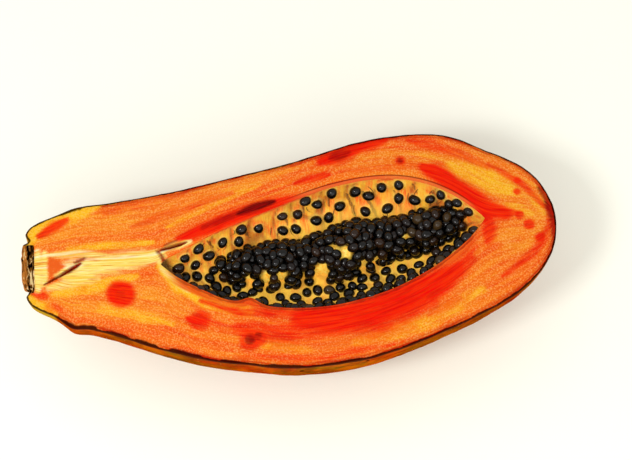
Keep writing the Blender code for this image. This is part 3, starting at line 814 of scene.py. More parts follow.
# %% Strokes of colour
STROKE_TAPER, STROKE_FULL, SPOT_FULL = 0.5, 1.35, 2.3
STROKES = {
    "amber": (
        ([(-132, 18), (-95, 27), (-60, 36), (-30, 46), (0, 54)], 17, 0.85),
        ([(-126, -16), (-85, -20), (-60, -26)], 20, 0.80),
        ([(-72, -8), (-45, -24), (-20, -34)], 9, 0.7),
        ([(80, 50), (104, 40), (118, 30), (130, 18), (134, 6)], 24, 0.85),
        ([(30, 50), (70, 46), (95, 38)], 12, 0.55),
        ([(-30, -44), (10, -53), (50, -46), (90, -32), (122, -10)], 10, 0.28),
        ([(112, 2), (126, -4)], 14, 0.6),
    ),
    "red": (
        ([(-92, -17)], 9.6, 1.0), ([(-94, -15)], 8.0, 0.9), ([(-96, -17.5), (-87, -18.5)], 7.0, 0.7),
        ([(-57, -34), (-49, -35)], 6.8, 0.9), ([(-51, -35.5)], 7.2, 0.75),
        ([(-26, -49)], 7.2, 0.85), ([(-21, -48)], 5.6, 0.80),
        ([(64, 50)], 3.6, 0.85),
        ([(127, 33)], 2.8, 0.9), ([(126, 26)], 2.8, 0.9), ([(125.5, 12)], 3.4, 0.9),
        ([(130, 6)], 4.0, 0.9), ([(135, -2)], 3.8, 0.9),
        ([(20, 53), (31, 55.8), (41, 58.6)], 8.0, 1.0), ([(38, 60), (48, 62.6), (57, 64)], 8.0, 1.0),
        ([(70, 62), (96, 52), (112, 42)], 4.5, 0.6), ([(62, 63.5), (84, 61)], 4.0, 0.4),
        ([(-135.5, 20.5), (-128, 25), (-120, 29)], 4.8, 0.95),
        ([(-60, 12.6), (-45, 17.8), (-30, 23.2), (-10, 28.8), (12, 31.6)], 8.6, 1.0),
        ([(6, 31.5), (30, 39), (54, 41.0)], 3.0, 0.75), ([(5, 41), (14, 43.5), (24, 45)], 4.0, 0.85),
        ([(76, 45), (85, 40), (92, 34)], 9.0, 1.0), ([(84, 40), (98, 26), (106, 19), (118, 13)], 11.0, 1.0),
        ([(106, 18), (116, 15), (124, 13)], 5.4, 0.8),
        ([(107, 15), (109, 6), (106, -2)], 6.4, 0.9),
        ([(2, -38), (30, -39), (56, -33), (80, -24)], 16.0, 1.0),
        ([(40, -38), (60, -31), (88, -17)], 13.0, 1.0),
        ([(80, -21), (92, -12), (100, -4)], 3.2, 0.6), ([(0, -40), (40, -45), (72, -36)], 12.0, 0.55),
        ([(-32, -41), (-10, -46), (24, -45)], 9.5, 0.75),
        ([(-50, -24), (-30, -32), (0, -35), (20, -34)], 4.4, 0.85),
        ([(112, -23), (130, -11), (141, 4), (142, 16)], 4.0, 0.7),
        ([(-120, 8), (-100, 8.5), (-80, 7.5)], 1.8, 0.6),
        ([(-138, -13.0), (-132, -15)], 4.2, 0.8), ([(-132, -21), (-125, -23)], 4.5, 0.5),
        ([(112, 44), (128, 32), (141, 14)], 3.4, 0.75), ([(-34, -57), (10, -62), (50, -57)], 3.0, 0.5),
        ([(-100, 31), (-75, 36), (-55, 41)], 4.6, 0.45), ([(-85, 22), (-55, 31), (-30, 38)], 4.6, 0.5),
        ([(-60, -20), (-40, -40), (0, -52)], 3.6, 0.35), ([(30, 46), (60, 47), (84, 46)], 3.2, 0.4),
        ([(70, -42), (88, -34)], 4.5, 0.5), ([(40, -48), (50, -46)], 3.6, 0.55),
        ([(62, -30), (82, -23), (97, -12)], 8.0, 0.8), ([(-14, -54), (24, -56), (62, -48)], 5.0, 0.28),
    ),
    "ember": (
        ([(-130, 8), (-123.5, 2)], 1.9, 1.0), ([(-130, -3), (-123.5, 1.4)], 1.9, 1.0),
        ([(-129.6, 6), (-129.6, -1)], 2.4, 1.0), ([(-128.4, 2.6), (-123.5, 1.7)], 4.2, 1.0),
    ),
    "deep": (
        ([(-27, 25.4), (-17, 28.6), (-7, 31.0)], 3.8, 1.0),
        ([(-47, 18.5), (-36, 22.4), (-26, 26)], 3.0, 0.55),
        ([(-25.5, -48)], 3.6, 0.75), ([(-21, -46.5)], 2.6, 0.6), ([(26, 54.6), (36, 57.4)], 4.5, 0.55),
        ([(-91.5, -18), (-94, -16)], 5.0, 0.16), ([(64, 50)], 2.0, 0.5),
        ([(-68, 9.6), (-61, 12)], 1.2, 0.8),
        ([(138, 27), (142, 19), (144.5, 7), (143, -7), (137, -20)], 3.2, 0.80),
        ([(141, 18), (144.5, 6), (143.5, -6)], 4.6, 0.6),
    ),
    "nibble": (
        ([(-124, -31), (-116, -33), (-108, -34)], 6.0, 1.0), ([(-100, -39), (-92, -42)], 6.0, 1.0),
        ([(-84, -44), (-76, -47)], 5.0, 0.9), ([(-66, -51), (-54, -55)], 6.5, 1.0),
        ([(-40, -59), (-32, -61)], 4.5, 0.8), ([(-16, -64), (0, -66)], 5.5, 0.9),
        ([(20, -66), (34, -66)], 4.5, 0.8),
        ([(-126, 34), (-116, 37), (-106, 39)], 6.0, 0.8), ([(20, 62), (34, 64)], 4.5, 0.5),
    ),
    "split": (
        ([(-116.8, 3.4), (-110.6, 5.6)], 1.7, 0.9), ([(-133, -8), (-126, -4.2), (-118, 0)], 1.5, 1.0),
        ([(-124, -3.2), (-119, -0.6), (-113.4, 2.6)], 2.2, 1.0),
        ([(-71, 6.8), (-65, 8.2), (-58, 10.0)], 2.0, 1.0), ([(-64, 8.4), (-56, 10.8)], 1.3, 0.9),
        ([(-72, 6.8), (-69.6, 3.4), (-68, -2)], 1.7, 0.9),
    ),
    "yellow": (
        ([(-142, 17), (-136, 26), (-124, 32), (-104, 36.5)], 9.0, 1.0),
        ([(-118, 34), (-85, 41.5), (-55, 48), (-24, 55)], 4.2, 0.95),
        ([(-142.5, -14), (-138, -19.5), (-128, -25)], 6.0, 1.0),
        ([(-71, -2), (-62, -14), (-46, -25), (-24, -32.5)], 6.4, 1.0),
        ([(30, -54), (66, -47), (100, -30)], 7.0, 0.50), ([(134, 24), (139, 12)], 4.6, 0.5),
        ([(-104, -24), (-86, -29), (-66, -36)], 5.0, 0.5), ([(-20, -52), (6, -56)], 4.0, 0.4),
        ([(-128, -14), (-112, -12), (-84, -7)], 5.6, 0.75), ([(-120, 12), (-96, 12), (-74, 12)], 3.6, 0.7),
        ([(92, 44), (108, 37), (124, 26)], 11.0, 0.62), ([(-18, 50), (10, 57)], 4.0, 0.6),
        ([(120, 18), (132, 12)], 5.0, 0.4), ([(-66, 20), (-40, 32), (-14, 42)], 3.0, 0.4),
    ),
    "pale": (
        ([(-136.4, -11), (-136.4, 12)], 4.6, 1.0), ([(-133, -8), (-132.6, 11)], 3.6, 1.0),
        ([(-131, 9), (-118, 8.5), (-100, 7)], 3.6, 0.75),
        ([(-127, 0), (-112, 0), (-92, 2), (-70, 4.5)], 8.8, 0.95), ([(-126, -2), (-108, -4)], 6.4, 0.85),
        ([(-110, 1), (-88, 2.6), (-69, 4.5)], 4.6, 0.95),
        ([(-71, 6), (-64, 8.6), (-54, 11)], 3.2, 0.9),
        ([(-72, 3), (-69.4, -4), (-62, -13), (-56, -18)], 2.6, 0.6),
        ([(-131, -10), (-120, -8), (-104, -7)], 4.2, 0.85),
    ),
    "core_gap": (
        ([(-129.8, 7.5), (-129.8, -3.5)], 2.4, 1.0), ([(-129, 2), (-122.5, 1.7)], 3.4, 1.0),
        ([(-129.5, 6), (-124, 2.4)], 2.6, 1.0), ([(-129.5, -2), (-124, 1.2)], 2.6, 1.0),
    ),
    "shadowed": (
        ([(-70, 3), (-67, -4), (-60, -11)], 6.0, 1.0), ([(-66, -2), (-58, -7)], 6.0, 0.8),
        ([(-64, -8), (-50, -18), (-36, -25)], 5.0, 0.85),
    ),
}
FAR_WALL_STROKES = {
    # Dark lines of painted shade in the folds of the far wall:
    "dark_crease": (
        ([(33.0, 9), (35, 15), (37.4, 23)], 1.3, 1.0), ([(42.0, 9), (45.2, 16), (50.6, 26)], 1.5, 1.0),
        ([(18.0, 11), (20.5, 21)], 1.2, 1.0), ([(23, 9), (24, 17)], 1.1, 0.9),
        ([(-3.4, 8), (0.4, 19)], 1.2, 0.9),
        ([(60, 10), (63, 21)], 1.3, 0.9), ([(80, 6), (84, 16)], 1.3, 0.9), ([(-26, 6), (-22, 16)], 1.2, 0.9),
        ([(-45, 4), (-42, 12)], 1.2, 0.9), ([(8, 5), (9, 13)], 1.0, 0.9), ([(70, 4), (72, 10)], 1.0, 0.8),
    ),
    "orange_fold": (
        ([(36, 8), (40, 14), (44, 24)], 2.8, 1.0), ([(46, 10), (53, 21)], 2.6, 1.0),
        ([(-26, 6), (-14, 10), (-8, 20)], 3.4, 0.9), ([(3, 8), (8, 14), (11, 24)], 3.0, 0.9),
        ([(22, 8), (27, 20)], 2.4, 0.8), ([(64, 8), (70, 20)], 2.8, 0.9), ([(-46, 5), (-36, 10)], 3.2, 0.9),
        ([(76, 6), (88, 12)], 2.4, 0.8), ([(-60, 4), (-54, 8)], 2.6, 0.8),
    ),
    "wall_red": (([(53, 1.5), (59, 1.5)], 2.4, 0.95), ([(-40, 1.0), (-10, 1.0), (20, 1.0)], 2.2, 0.85)),
}


def stroke_distance(flat, line, radius):
    """How far each place is from a stroke, where 1 is its border. A long stroke narrows to both ends."""
    line = np.array(line, float)
    steps = np.linalg.norm(np.diff(line, axis=0), axis=1)
    total, before = max(1e-9, steps.sum()), 0.0
    best = np.full(len(flat), 1e9)
    for a, b in zip(line, line[1:] if len(line) > 1 else line):
        span = b - a
        part = np.clip((flat - a) @ span / max(1e-9, span @ span), 0, 1)
        narrowed = 1.0
        if len(line) > 1:
            narrowed = 1.0 - STROKE_TAPER * (2 * (before + part * np.linalg.norm(span)) / total - 1) ** 2
            before += np.linalg.norm(span)
        gap = np.linalg.norm(flat - a - part[:, None] * span, axis=1)
        best = np.minimum(best, gap / (radius * narrowed))
    return best


def painted(strokes, flat):
    """The mask that some strokes make together at these places."""
    left = np.ones(len(flat))
    for line, radius, strength in strokes:
        full = SPOT_FULL if len(line) == 1 else STROKE_FULL
        left *= 1 - strength * smooth_array(full * (1 - stroke_distance(flat, line, radius)))
    return 1 - left


def store(piece, name, values, kind="FLOAT"):
    field = piece.data.attributes.new(name, kind, "POINT")
    key = "value" if kind == "FLOAT" else "vector"
    field.data.foreach_set(key, np.asarray(values, np.float32).ravel())


x, y, z = places.T
masks = {kind: painted(strokes, 1000 * places[:, :2]) for kind, strokes in STROKES.items()}
depth_flow = np.stack([1000 * x, 1000 * (CUT_Z - z)], axis=1)
for kind, strokes in FAR_WALL_STROKES.items():
    masks[kind] = painted(strokes, depth_flow)
masks["pale"] *= 1 - masks.pop("core_gap")
scar_side = smooth_array((CORK_HALF_WIDTH - np.abs(y - CORK_MIDDLE)) / 0.0020)
masks["cork"] = scar_side * smooth_array((-0.1374 - x) / 0.0016) * smooth_array((z - CUT_Z + 0.004) / 0.003)
round_scar = smooth_array((0.0140 - np.hypot(y - CORK_MIDDLE, z - CUT_Z)) / 0.0015)
masks["cork"] = np.maximum(masks["cork"], round_scar * (x < -0.139))
masks["rim_mm"] = 1000 * distances(places, rim_tree)
masks["lip_mm"] = 1000 * distances(places, lip_tree)
masks["below_mm"] = 1000 * (CUT_Z - z)
tip_share = smooth_array(np.minimum(x - tip_xs[0], tip_xs[1] - x) / 0.012)
from_middle = y - np.interp(x, flow_xs, flow_middle)
masks["far_edge"] = smooth_array((x + 0.005) / 0.020) * tip_share * smooth_array(from_middle / 0.004)
masks["near_edge"] = tip_share * smooth_array(-from_middle / 0.004)
away = np.array([wall_seed_tree.find(Vector(p))[2] for p in places])
masks["halo"] = 1 - smooth_array((1000 * away - 2.9) / 1.4)
# The crease mask also darkens the wall's colour, as painted shade.
masks["crease"] = crease_mask(places) * smooth_array((CUT_Z - z) / 0.004)
for name, values in masks.items():
    store(fruit, name, values)
print("masks:", ", ".join(f"{name} {values.mean():.2f}" for name, values in masks.items()))

# %% Flows over skin and wall
store(fruit, "cut_flow", cut_flow(places), "FLOAT_VECTOR")
turn = wall_turn(places)
store(fruit, "wall_flow", np.stack([30 * turn, 1000 * x, 3 * np.sin(turn)], axis=1), "FLOAT_VECTOR")
round_skin = np.arctan2(z - CUT_Z - 0.001, y - np.array([sway(value) for value in x]))
skin_flow = np.stack([1000 * x, 45 * round_skin, 1000 * (z - CUT_Z) * 0.2], axis=1)
store(fruit, "skin_flow", skin_flow, "FLOAT_VECTOR")

# %% [markdown]
# ## A short way to wire nodes
# Materials are graphs of nodes. A small helper adds a node, sets its plain values and links its
# inputs in one line, so that the recipe of a finish stays readable. Colours are given as they
# should look on the screen, and are divided by the strength of the light to get the paint.

# %% Helpers for nodes and colours
LIGHT, SHEEN = 1.14, 0.010
BLACK = (0.0, 0.0, 0.0, 1.0)


def seen(red, green, blue):
    """The surface colour that shows as this screen colour in the scene's light, less its sheen."""
    shares = [value / 255 for value in (red, green, blue)]
    linear = [s / 12.92 if s <= 10 / 255 else ((s + 0.055) / 1.055) ** 2.4 for s in shares]
    return (*(min(1.0, max(0.2 * v, v - SHEEN) / LIGHT) for v in linear), 1.0)


class Recipe:
    """Nodes of one tree, added and linked with short calls."""

    def __init__(self, tree):
        self.tree = tree

    def feed(self, socket, value):
        if isinstance(value, bpy.types.NodeSocket):
            self.tree.links.new(value, socket)
        else:
            socket.default_value = value

    def add(self, kind, inputs=None, **settings):
        node = self.tree.nodes.new("ShaderNode" + kind)
        for name, value in settings.items():
            setattr(node, name, value)
        for name, value in (inputs or {}).items():
            self.feed(node.inputs[name], value)
        return node

    def math(self, operation, a, b, clamp=False):
        return self.add("Math", {0: a, 1: b}, operation=operation, use_clamp=clamp).outputs[0]

    def times(self, a, b):
        return self.math("MULTIPLY", a, b)

    def plus(self, a, b, clamp=False):
        return self.math("ADD", a, b, clamp)

    def minus(self, a, b):
        return self.math("SUBTRACT", a, b)

    def divided(self, a, b):
        return self.math("DIVIDE", a, b)

    def mix(self, share, below, above):
        return self.add("Mix", {0: share, 6: below, 7: above}, data_type="RGBA").outputs[2]

    def ramp(self, value, low, high, start=0.0, end=1.0):
        given = {0: value, 1: low, 2: high, 3: start, 4: end}
        return self.add("MapRange", given, interpolation_type="SMOOTHSTEP").outputs[0]

    def bump(self, height, strength, distance):
        return self.add("Bump", {"Height": height, "Strength": strength, "Distance": distance}).outputs[0]

    def mask(self, name):
        return self.add("Attribute", attribute_name=name).outputs["Fac"]

    def flow(self, name):
        return self.add("Attribute", attribute_name=name).outputs["Vector"]

    def group(self, group, **inputs):
        node = self.tree.nodes.new("ShaderNodeGroup")
        node.node_tree = group
        for name, value in inputs.items():
            self.feed(node.inputs[name], value)
        return node

    def effect(self, group, **inputs):
        return self.group(group, **inputs).outputs[0]

    def place(self):
        return self.add("TexCoord").outputs["Object"]


def new_group(name, inputs, outputs):
    """An empty node group with named inputs and outputs, and its recipe."""
    group = bpy.data.node_groups.new(name, "ShaderNodeTree")
    for label, kind, value in inputs:
        socket = group.interface.new_socket(label, in_out="INPUT", socket_type="NodeSocket" + kind)
        if value is not None:
            socket.default_value = value
    for label, kind in outputs:
        group.interface.new_socket(label, in_out="OUTPUT", socket_type="NodeSocket" + kind)
    given, out = group.nodes.new("NodeGroupInput").outputs, group.nodes.new("NodeGroupOutput").inputs
    return group, Recipe(group), given, out


def new_finish(name, **constants):
    """A material with one Principled shader, its constant sockets set, and its recipe."""
    material = bpy.data.materials.new(name)
    material.use_nodes = True
    recipe = Recipe(material.node_tree)
    shader = material.node_tree.nodes["Principled BSDF"]
    for label, value in constants.items():
        shader.inputs[label.replace("_", " ")].default_value = value
    return material, recipe, shader


# %% [markdown]
# ## Effects that several finishes share
# Strands, frayed borders, grain and specks turn up in flesh, wall, skin and seeds. Each is a node
# group: built once, with named inputs, and placed in every material with its own values.

# %% Strands along a flow
strands, r, given, out = new_group(
    "strands",
    [
        ("Flow", "Vector", None), ("Spacing", "Float", 1.0), ("Length", "Float", 25.0),
        ("Contrast", "Float", 0.3), ("Offset", "Float", 0.0),
    ],
    [("Mask", "Float")],
)
parts = r.add("SeparateXYZ", {0: given["Flow"]})
along = r.divided(parts.outputs[0], given["Length"])
across = r.divided(parts.outputs[1], given["Spacing"])
slice_at = r.plus(r.times(parts.outputs[2], 0.1), given["Offset"])
lined = r.add("CombineXYZ", {0: along, 1: across, 2: slice_at}).outputs[0]
wavy = r.add("TexNoise", {"Vector": lined, "Scale": 1.0, "Detail": 3.0, "Roughness": 0.55}).outputs[0]
low, high = r.minus(0.5, given["Contrast"]), r.plus(0.5, given["Contrast"])
r.feed(out["Mask"], r.ramp(wavy, low, high))

# %% Frayed border of a mask
frayed, r, given, out = new_group(
    "frayed border",
    [("Mask", "Float", 0.0), ("Flow", "Vector", None), ("Fray", "Float", 1.0)],
    [("Mask", "Float")],
)
parts = r.add("SeparateXYZ", {0: given["Flow"]})


def torn_by(long, wide):
    """Noise from -0.5 to 0.5 in patches of this length and width along the flow, in millimetres."""
    x, y = r.divided(parts.outputs[0], long), r.divided(parts.outputs[1], wide)
    scaled = r.add("CombineXYZ", {0: x, 1: y, 2: parts.outputs[2]}).outputs[0]
    lumps = r.add("TexNoise", {"Vector": scaled, "Scale": 1.0, "Detail": 3.0, "Roughness": 0.6})
    return r.minus(lumps.outputs[0], 0.5)


torn = r.plus(torn_by(12.0, 2.6), torn_by(9.0, 0.6))
border = r.times(given["Mask"], r.minus(1.0, given["Mask"]))
moved = r.times(r.times(torn, border), r.times(given["Fray"], 6.0))
r.feed(out["Mask"], r.plus(given["Mask"], moved, clamp=True))


def painted_mask(r, name, flow, fray):
    """A mask painted on the mesh, with its border frayed along a flow."""
    return r.effect(frayed, Mask=r.mask(name), Flow=flow, Fray=fray)


# %% Grain of the pulp
grain, r, given, out = new_group(
    "pulp grain", [("Size", "Float", 0.0008)], [("Mask", "Float"), ("Height", "Float")]
)
scale = r.divided(1.0, given["Size"])
cells = r.add("TexVoronoi", {"Vector": r.place(), "Scale": scale, "Randomness": 1.0})
fuzz = r.add("TexNoise", {"Vector": r.place(), "Scale": scale, "Detail": 2.0, "Roughness": 0.6}).outputs[0]
r.feed(out["Mask"], r.ramp(fuzz, 0.3, 0.7))
pits = r.times(cells.outputs["Distance"], 0.5)
r.feed(out["Height"], r.minus(r.times(fuzz, 0.7), pits))

# %% Patches and specks
patches, r, given, out = new_group(
    "patches",
    [("Size", "Float", 0.01), ("Cover", "Float", 0.5), ("Softness", "Float", 0.1), ("Offset", "Float", 0.0)],
    [("Mask", "Float")],
)
offset = r.add("CombineXYZ", {0: given["Offset"]}).outputs[0]
moved = r.add("VectorMath", {0: r.place(), 1: offset}, operation="ADD").outputs[0]
scale = r.divided(1.0, given["Size"])
lumps = r.add("TexNoise", {"Vector": moved, "Scale": scale, "Detail": 5.0, "Roughness": 0.62}).outputs[0]
level = r.minus(0.75, r.times(given["Cover"], 0.5))
low, high = r.minus(level, given["Softness"]), r.plus(level, given["Softness"])
r.feed(out["Mask"], r.ramp(lumps, low, high))

specks, r, given, out = new_group(
    "specks",
    [("Spacing", "Float", 0.003), ("Size", "Float", 0.2), ("Share", "Float", 0.6)],
    [("Mask", "Float")],
)
scale = r.divided(1.0, given["Spacing"])
cells = r.add("TexVoronoi", {"Vector": r.place(), "Scale": scale, "Randomness": 1.0})
chance = r.add("SeparateXYZ", {0: cells.outputs["Color"]}).outputs[0]
present = r.math("LESS_THAN", chance, given["Share"])
dot = r.ramp(cells.outputs["Distance"], given["Size"], r.times(given["Size"], 0.5))
r.feed(out["Mask"], r.times(dot, present))

# %% [markdown]
# ## Torn cork of the stem scar
# Where the fruit hung on the tree, a dry brown scar is left, in thin wavy layers with dark gaps. Both
# the skin and the cut face run into it, so its colour and height are a group too.

# %% Torn cork
cork, r, given, out = new_group(
    "torn cork", [("Layer", "Float", 0.0016)], [("Color", "Color"), ("Height", "Float")]
)
stretch = r.add("Mapping", {"Vector": r.place(), "Scale": (1.0, 0.28, 0.6)}).outputs[0]
scale = r.divided(1.0, given["Layer"])
layers = r.add("TexNoise", {
    "Vector": stretch, "Scale": scale, "Detail": 3.0, "Roughness": 0.6, "Distortion": 0.8,
}).outputs[0]
outer = r.ramp(r.add("SeparateXYZ", {0: r.place()}).outputs[0], -0.1415, -0.1430)
dry = r.mix(outer, seen(122, 78, 36), seen(196, 122, 54))
gap = r.plus(0.44, r.times(outer, -0.10))
paint = r.mix(r.ramp(layers, gap, 0.56), seen(24, 14, 10), dry)
paint = r.mix(r.ramp(layers, 0.55, 0.66), paint, seen(236, 206, 146))
r.feed(out["Color"], paint)
r.feed(out["Height"], layers)

# %% [markdown]
# ## Cut flesh
# The cut face is moist and slightly see-through: light enters it and comes out a few millimetres
# on, redder. That is the shader's subsurface share, a constant on its own socket. The colour is
# laid on in layers, from the broad yellow-orange ground to the red bruises and the pale core. The
# moist sheen fades where the face is seen flat, so that it doesn't turn pale there.

# %% Cut flesh
flesh_finish, r, shader = new_finish(
    "cut_flesh", Subsurface_Weight=0.20, Subsurface_Radius=(1.0, 0.32, 0.10), Subsurface_Scale=0.0018,
    IOR=1.38, Specular_IOR_Level=0.0, Coat_Roughness=0.20, Coat_IOR=1.33,
)
flow = r.flow("cut_flow")
fine = r.effect(strands, Flow=flow, Spacing=0.75, Length=16.0, Contrast=0.20)
broad = r.effect(strands, Flow=flow, Spacing=2.6, Length=34.0, Contrast=0.13, Offset=3.0)
wide = r.effect(strands, Flow=flow, Spacing=6.0, Length=60.0, Contrast=0.11, Offset=5.0)
wisps = r.effect(strands, Flow=flow, Spacing=1.3, Length=22.0, Contrast=0.10, Offset=7.0)
pulp = r.group(grain, Size=0.0009)
clouds = r.effect(patches, Size=0.013, Cover=0.5, Softness=0.18)

amber = painted_mask(r, "amber", flow, 1.0)
paint = r.mix(wide, seen(240, 62, 20), seen(243, 110, 32))
paint = r.mix(amber, paint, r.mix(wide, seen(242, 130, 40), seen(246, 166, 50)))
paint = r.mix(r.times(clouds, 0.22), paint, seen(244, 76, 24))
paint = r.mix(r.times(broad, 0.36), paint, seen(250, 158, 46))
paint = r.mix(r.times(wisps, 0.40), paint, seen(236, 62, 20))
paint = r.mix(r.times(fine, 0.24), paint, seen(250, 176, 62))
yellow = painted_mask(r, "yellow", flow, 1.0)
paint = r.mix(r.times(yellow, 0.92), paint, seen(250, 196, 44))
speckle = r.times(r.ramp(pulp.outputs["Mask"], 0.45, 1.0), 0.36)
paint = r.mix(speckle, paint, seen(255, 208, 122))
paint = r.mix(r.ramp(pulp.outputs["Mask"], 0.40, 0.0, 0.0, 0.22), paint, seen(226, 58, 16))

red = painted_mask(r, "red", flow, 0.8)
crimson = r.mix(r.times(r.ramp(broad, 0.3, 1.0), 0.40), seen(240, 18, 6), seen(250, 60, 12))
crimson = r.mix(r.times(fine, 0.24), crimson, seen(252, 96, 30))
crimson = r.mix(r.times(r.ramp(wisps, 0.55, 1.0), 0.45), crimson, seen(206, 14, 8))
paint = r.mix(red, paint, crimson)
paint = r.mix(painted_mask(r, "ember", flow, 0.6), paint, seen(234, 100, 40))
deep = painted_mask(r, "deep", flow, 0.8)
paint = r.mix(deep, paint, r.mix(wisps, seen(96, 8, 8), seen(150, 14, 10)))

pale = painted_mask(r, "pale", flow, 0.9)
threads = r.effect(strands, Flow=flow, Spacing=0.9, Length=26.0, Contrast=0.09, Offset=11.0)
core = r.mix(threads, seen(245, 206, 84), seen(252, 236, 142))
core = r.mix(r.times(r.ramp(fine, 0.74, 1.0), 0.75), core, seen(222, 96, 36))
core = r.mix(r.times(r.ramp(broad, 0.80, 1.0), 0.50), core, seen(253, 246, 206))
paint = r.mix(pale, paint, core)
torn_open = painted_mask(r, "split", flow, 0.3)
paint = r.mix(torn_open, paint, r.mix(pulp.outputs["Mask"], seen(96, 16, 12), seen(176, 50, 26)))

rim = r.mask("rim_mm")
edge_tone = r.times(r.ramp(rim, 3.2, 0.7, 0.0, 0.92), r.ramp(wisps, 0.0, 1.0, 0.45, 1.0))
edge_tone = r.times(edge_tone, r.ramp(yellow, 0.1, 0.8, 1.0, 0.15))
paint = r.mix(edge_tone, paint, seen(190, 36, 12))
nibbled = r.effect(patches, Size=0.006, Cover=0.5, Softness=0.15, Offset=4.0)
dark_width = r.plus(0.34, r.times(nibbled, 0.75))
nibble = painted_mask(r, "nibble", flow, 0.9)
rim_width = r.plus(dark_width, r.times(nibble, 1.5))
paint = r.mix(r.ramp(r.divided(rim, rim_width), 1.0, 0.4, 0.0, 0.94), paint, seen(44, 20, 8))
lip = r.mask("lip_mm")
far_edge, near_edge = r.mask("far_edge"), r.mask("near_edge")
pinkish = r.times(far_edge, r.ramp(lip, 1.5, 0.8))
paint = r.mix(r.times(pinkish, 0.80), paint, seen(232, 110, 56))
thin = r.times(r.ramp(lip, 1.9, 1.5), r.ramp(lip, 0.8, 1.2))
paint = r.mix(r.times(r.times(thin, far_edge), 0.80), paint, seen(116, 24, 12))
reddish = r.times(near_edge, r.ramp(lip, 4.2, 2.6, 0.0, 0.85))
reddish = r.times(reddish, r.ramp(red, 0.0, 0.9, 1.0, 0.0))
paint = r.mix(reddish, paint, r.mix(fine, seen(226, 46, 18), seen(240, 98, 36)))
shaded = r.times(near_edge, r.ramp(r.divided(lip, dark_width), 1.1, 0.5, 0.0, 0.50))
paint = r.mix(shaded, paint, seen(120, 20, 10))
scarred = r.mask("cork")
torn = r.group(cork, Layer=0.0016)
paint = r.mix(r.ramp(scarred, 0.35, 0.6), paint, torn.outputs["Color"])
r.feed(shader.inputs["Base Color"], paint)
r.feed(shader.inputs["Roughness"], r.ramp(pulp.outputs["Mask"], 0.0, 1.0, 0.34, 0.50))
facing = r.add("LayerWeight", {"Blend": 0.5}).outputs["Facing"]
moist = r.times(r.ramp(facing, 0.45, 0.90, 0.20, 0.04), r.ramp(scarred, 0.0, 0.5, 1.0, 0.0))
r.feed(shader.inputs["Coat Weight"], r.times(moist, r.ramp(rim, 0.4, 1.4)))
relief = r.plus(r.times(broad, 0.8), pulp.outputs["Height"])
relief = r.plus(r.times(fine, 0.6), relief)
relief = r.plus(relief, r.times(torn.outputs["Height"], r.times(scarred, 6.0)))
r.feed(shader.inputs["Normal"], r.bump(relief, 0.35, 0.00022))

# %% [markdown]
# ## Cavity wall
# Inside, the flesh is lined with a thin yellow membrane. It turns orange on the folds and pale round
# each seed and on the floor. Its creases carry painted shade, and a painted shadow darkens the
# near-left tip. Strands run down it, so it uses the same strands as the flesh along another flow.
# Ripe flesh lets light soak in from the cut face and out at the wall, much further than the shader's
# subsurface share carries it. The wall is given painted light for this and for the light that the
# cavity's own shade takes away: it glows in its own colour, strongest on the floor, where the least
# light comes straight down. A painted highlight lightens it just under the lip.

# %% Cavity wall
# Strength of the painted light that the wall and the bare spots of the heap's bed give off.
PAINTED_WALL_LIGHT = 0.48

wall_finish, r, shader = new_finish(
    "cavity_wall", Subsurface_Weight=0.20, Subsurface_Radius=(1.0, 0.45, 0.16), Subsurface_Scale=0.0016,
    IOR=1.38, Specular_IOR_Level=0.20, Coat_Weight=0.15, Coat_Roughness=0.16, Coat_IOR=1.33,
    Emission_Strength=PAINTED_WALL_LIGHT,
)
flow = r.flow("wall_flow")
fine = r.effect(strands, Flow=flow, Spacing=0.8, Length=7.0, Contrast=0.16)
broad = r.effect(strands, Flow=flow, Spacing=5.0, Length=22.0, Contrast=0.10, Offset=5.0)
smudge = r.effect(strands, Flow=flow, Spacing=8.0, Length=16.0, Contrast=0.08, Offset=9.0)
pulp = r.group(grain, Size=0.0007)
paint = r.mix(broad, seen(255, 180, 52), seen(255, 124, 42))
folded = painted_mask(r, "orange_fold", flow, 0.8)
paint = r.mix(folded, paint, r.mix(fine, seen(250, 76, 24), seen(255, 124, 40)))
paint = r.mix(r.times(r.ramp(fine, 0.35, 1.0), 0.45), paint, seen(255, 206, 80))
paint = r.mix(r.times(r.ramp(smudge, 0.85, 1.0), 0.30), paint, seen(206, 134, 46))
# Painted shade: the wall is darker in the creases of its relief and along the dark creases of the far wall.
paint = r.mix(r.times(r.mask("crease"), 0.80), paint, seen(150, 54, 16))
creased = painted_mask(r, "dark_crease", flow, 0.5)
paint = r.mix(r.ramp(creased, 0.20, 0.80, 0.0, 0.85), paint, r.mix(fine, seen(58, 20, 8), seen(140, 60, 22)))
paint = r.mix(r.times(r.mask("halo"), 0.60), paint, seen(255, 220, 108))
# Painted highlight: the wall is lighter orange in the first few millimetres under the lip.
paint = r.mix(r.ramp(r.mask("below_mm"), 3.5, 0.6, 0.0, 0.55), paint, seen(252, 168, 66))
reddened = painted_mask(r, "wall_red", flow, 0.8)
paint = r.mix(reddened, paint, seen(228, 60, 28))
paint = r.mix(r.times(r.mask("shadowed"), 0.88), paint, seen(60, 24, 16))
paint = r.mix(r.times(pulp.outputs["Mask"], 0.14), paint, seen(255, 226, 130))
paint = r.mix(r.ramp(r.mask("below_mm"), 15.0, 26.0, 0.0, 0.50), paint, seen(255, 212, 88))
r.feed(shader.inputs["Base Color"], paint)
# Painted light: the wall glows in its own colour, at about a third near the lip and in full on the floor.
painted_light = r.ramp(r.mask("below_mm"), 8.0, 24.0, 0.35, 1.0)
r.feed(shader.inputs["Emission Color"], r.mix(painted_light, BLACK, paint))
r.feed(shader.inputs["Roughness"], r.ramp(fine, 0.0, 1.0, 0.32, 0.46))
relief = r.plus(r.times(fine, 1.2), pulp.outputs["Height"])
r.feed(shader.inputs["Normal"], r.bump(relief, 0.5, 0.00025))

# %% [markdown]
# ## Skin
# Ripe skin goes from olive green to burnt orange, in blotches that run lengthwise, with brown
# nicks and pale corky specks. It is waxy, so it has a soft sheen but no wet gloss. The sheen fades
# where the skin turns away, because a dusty wax doesn't mirror the table as a clear coat would.

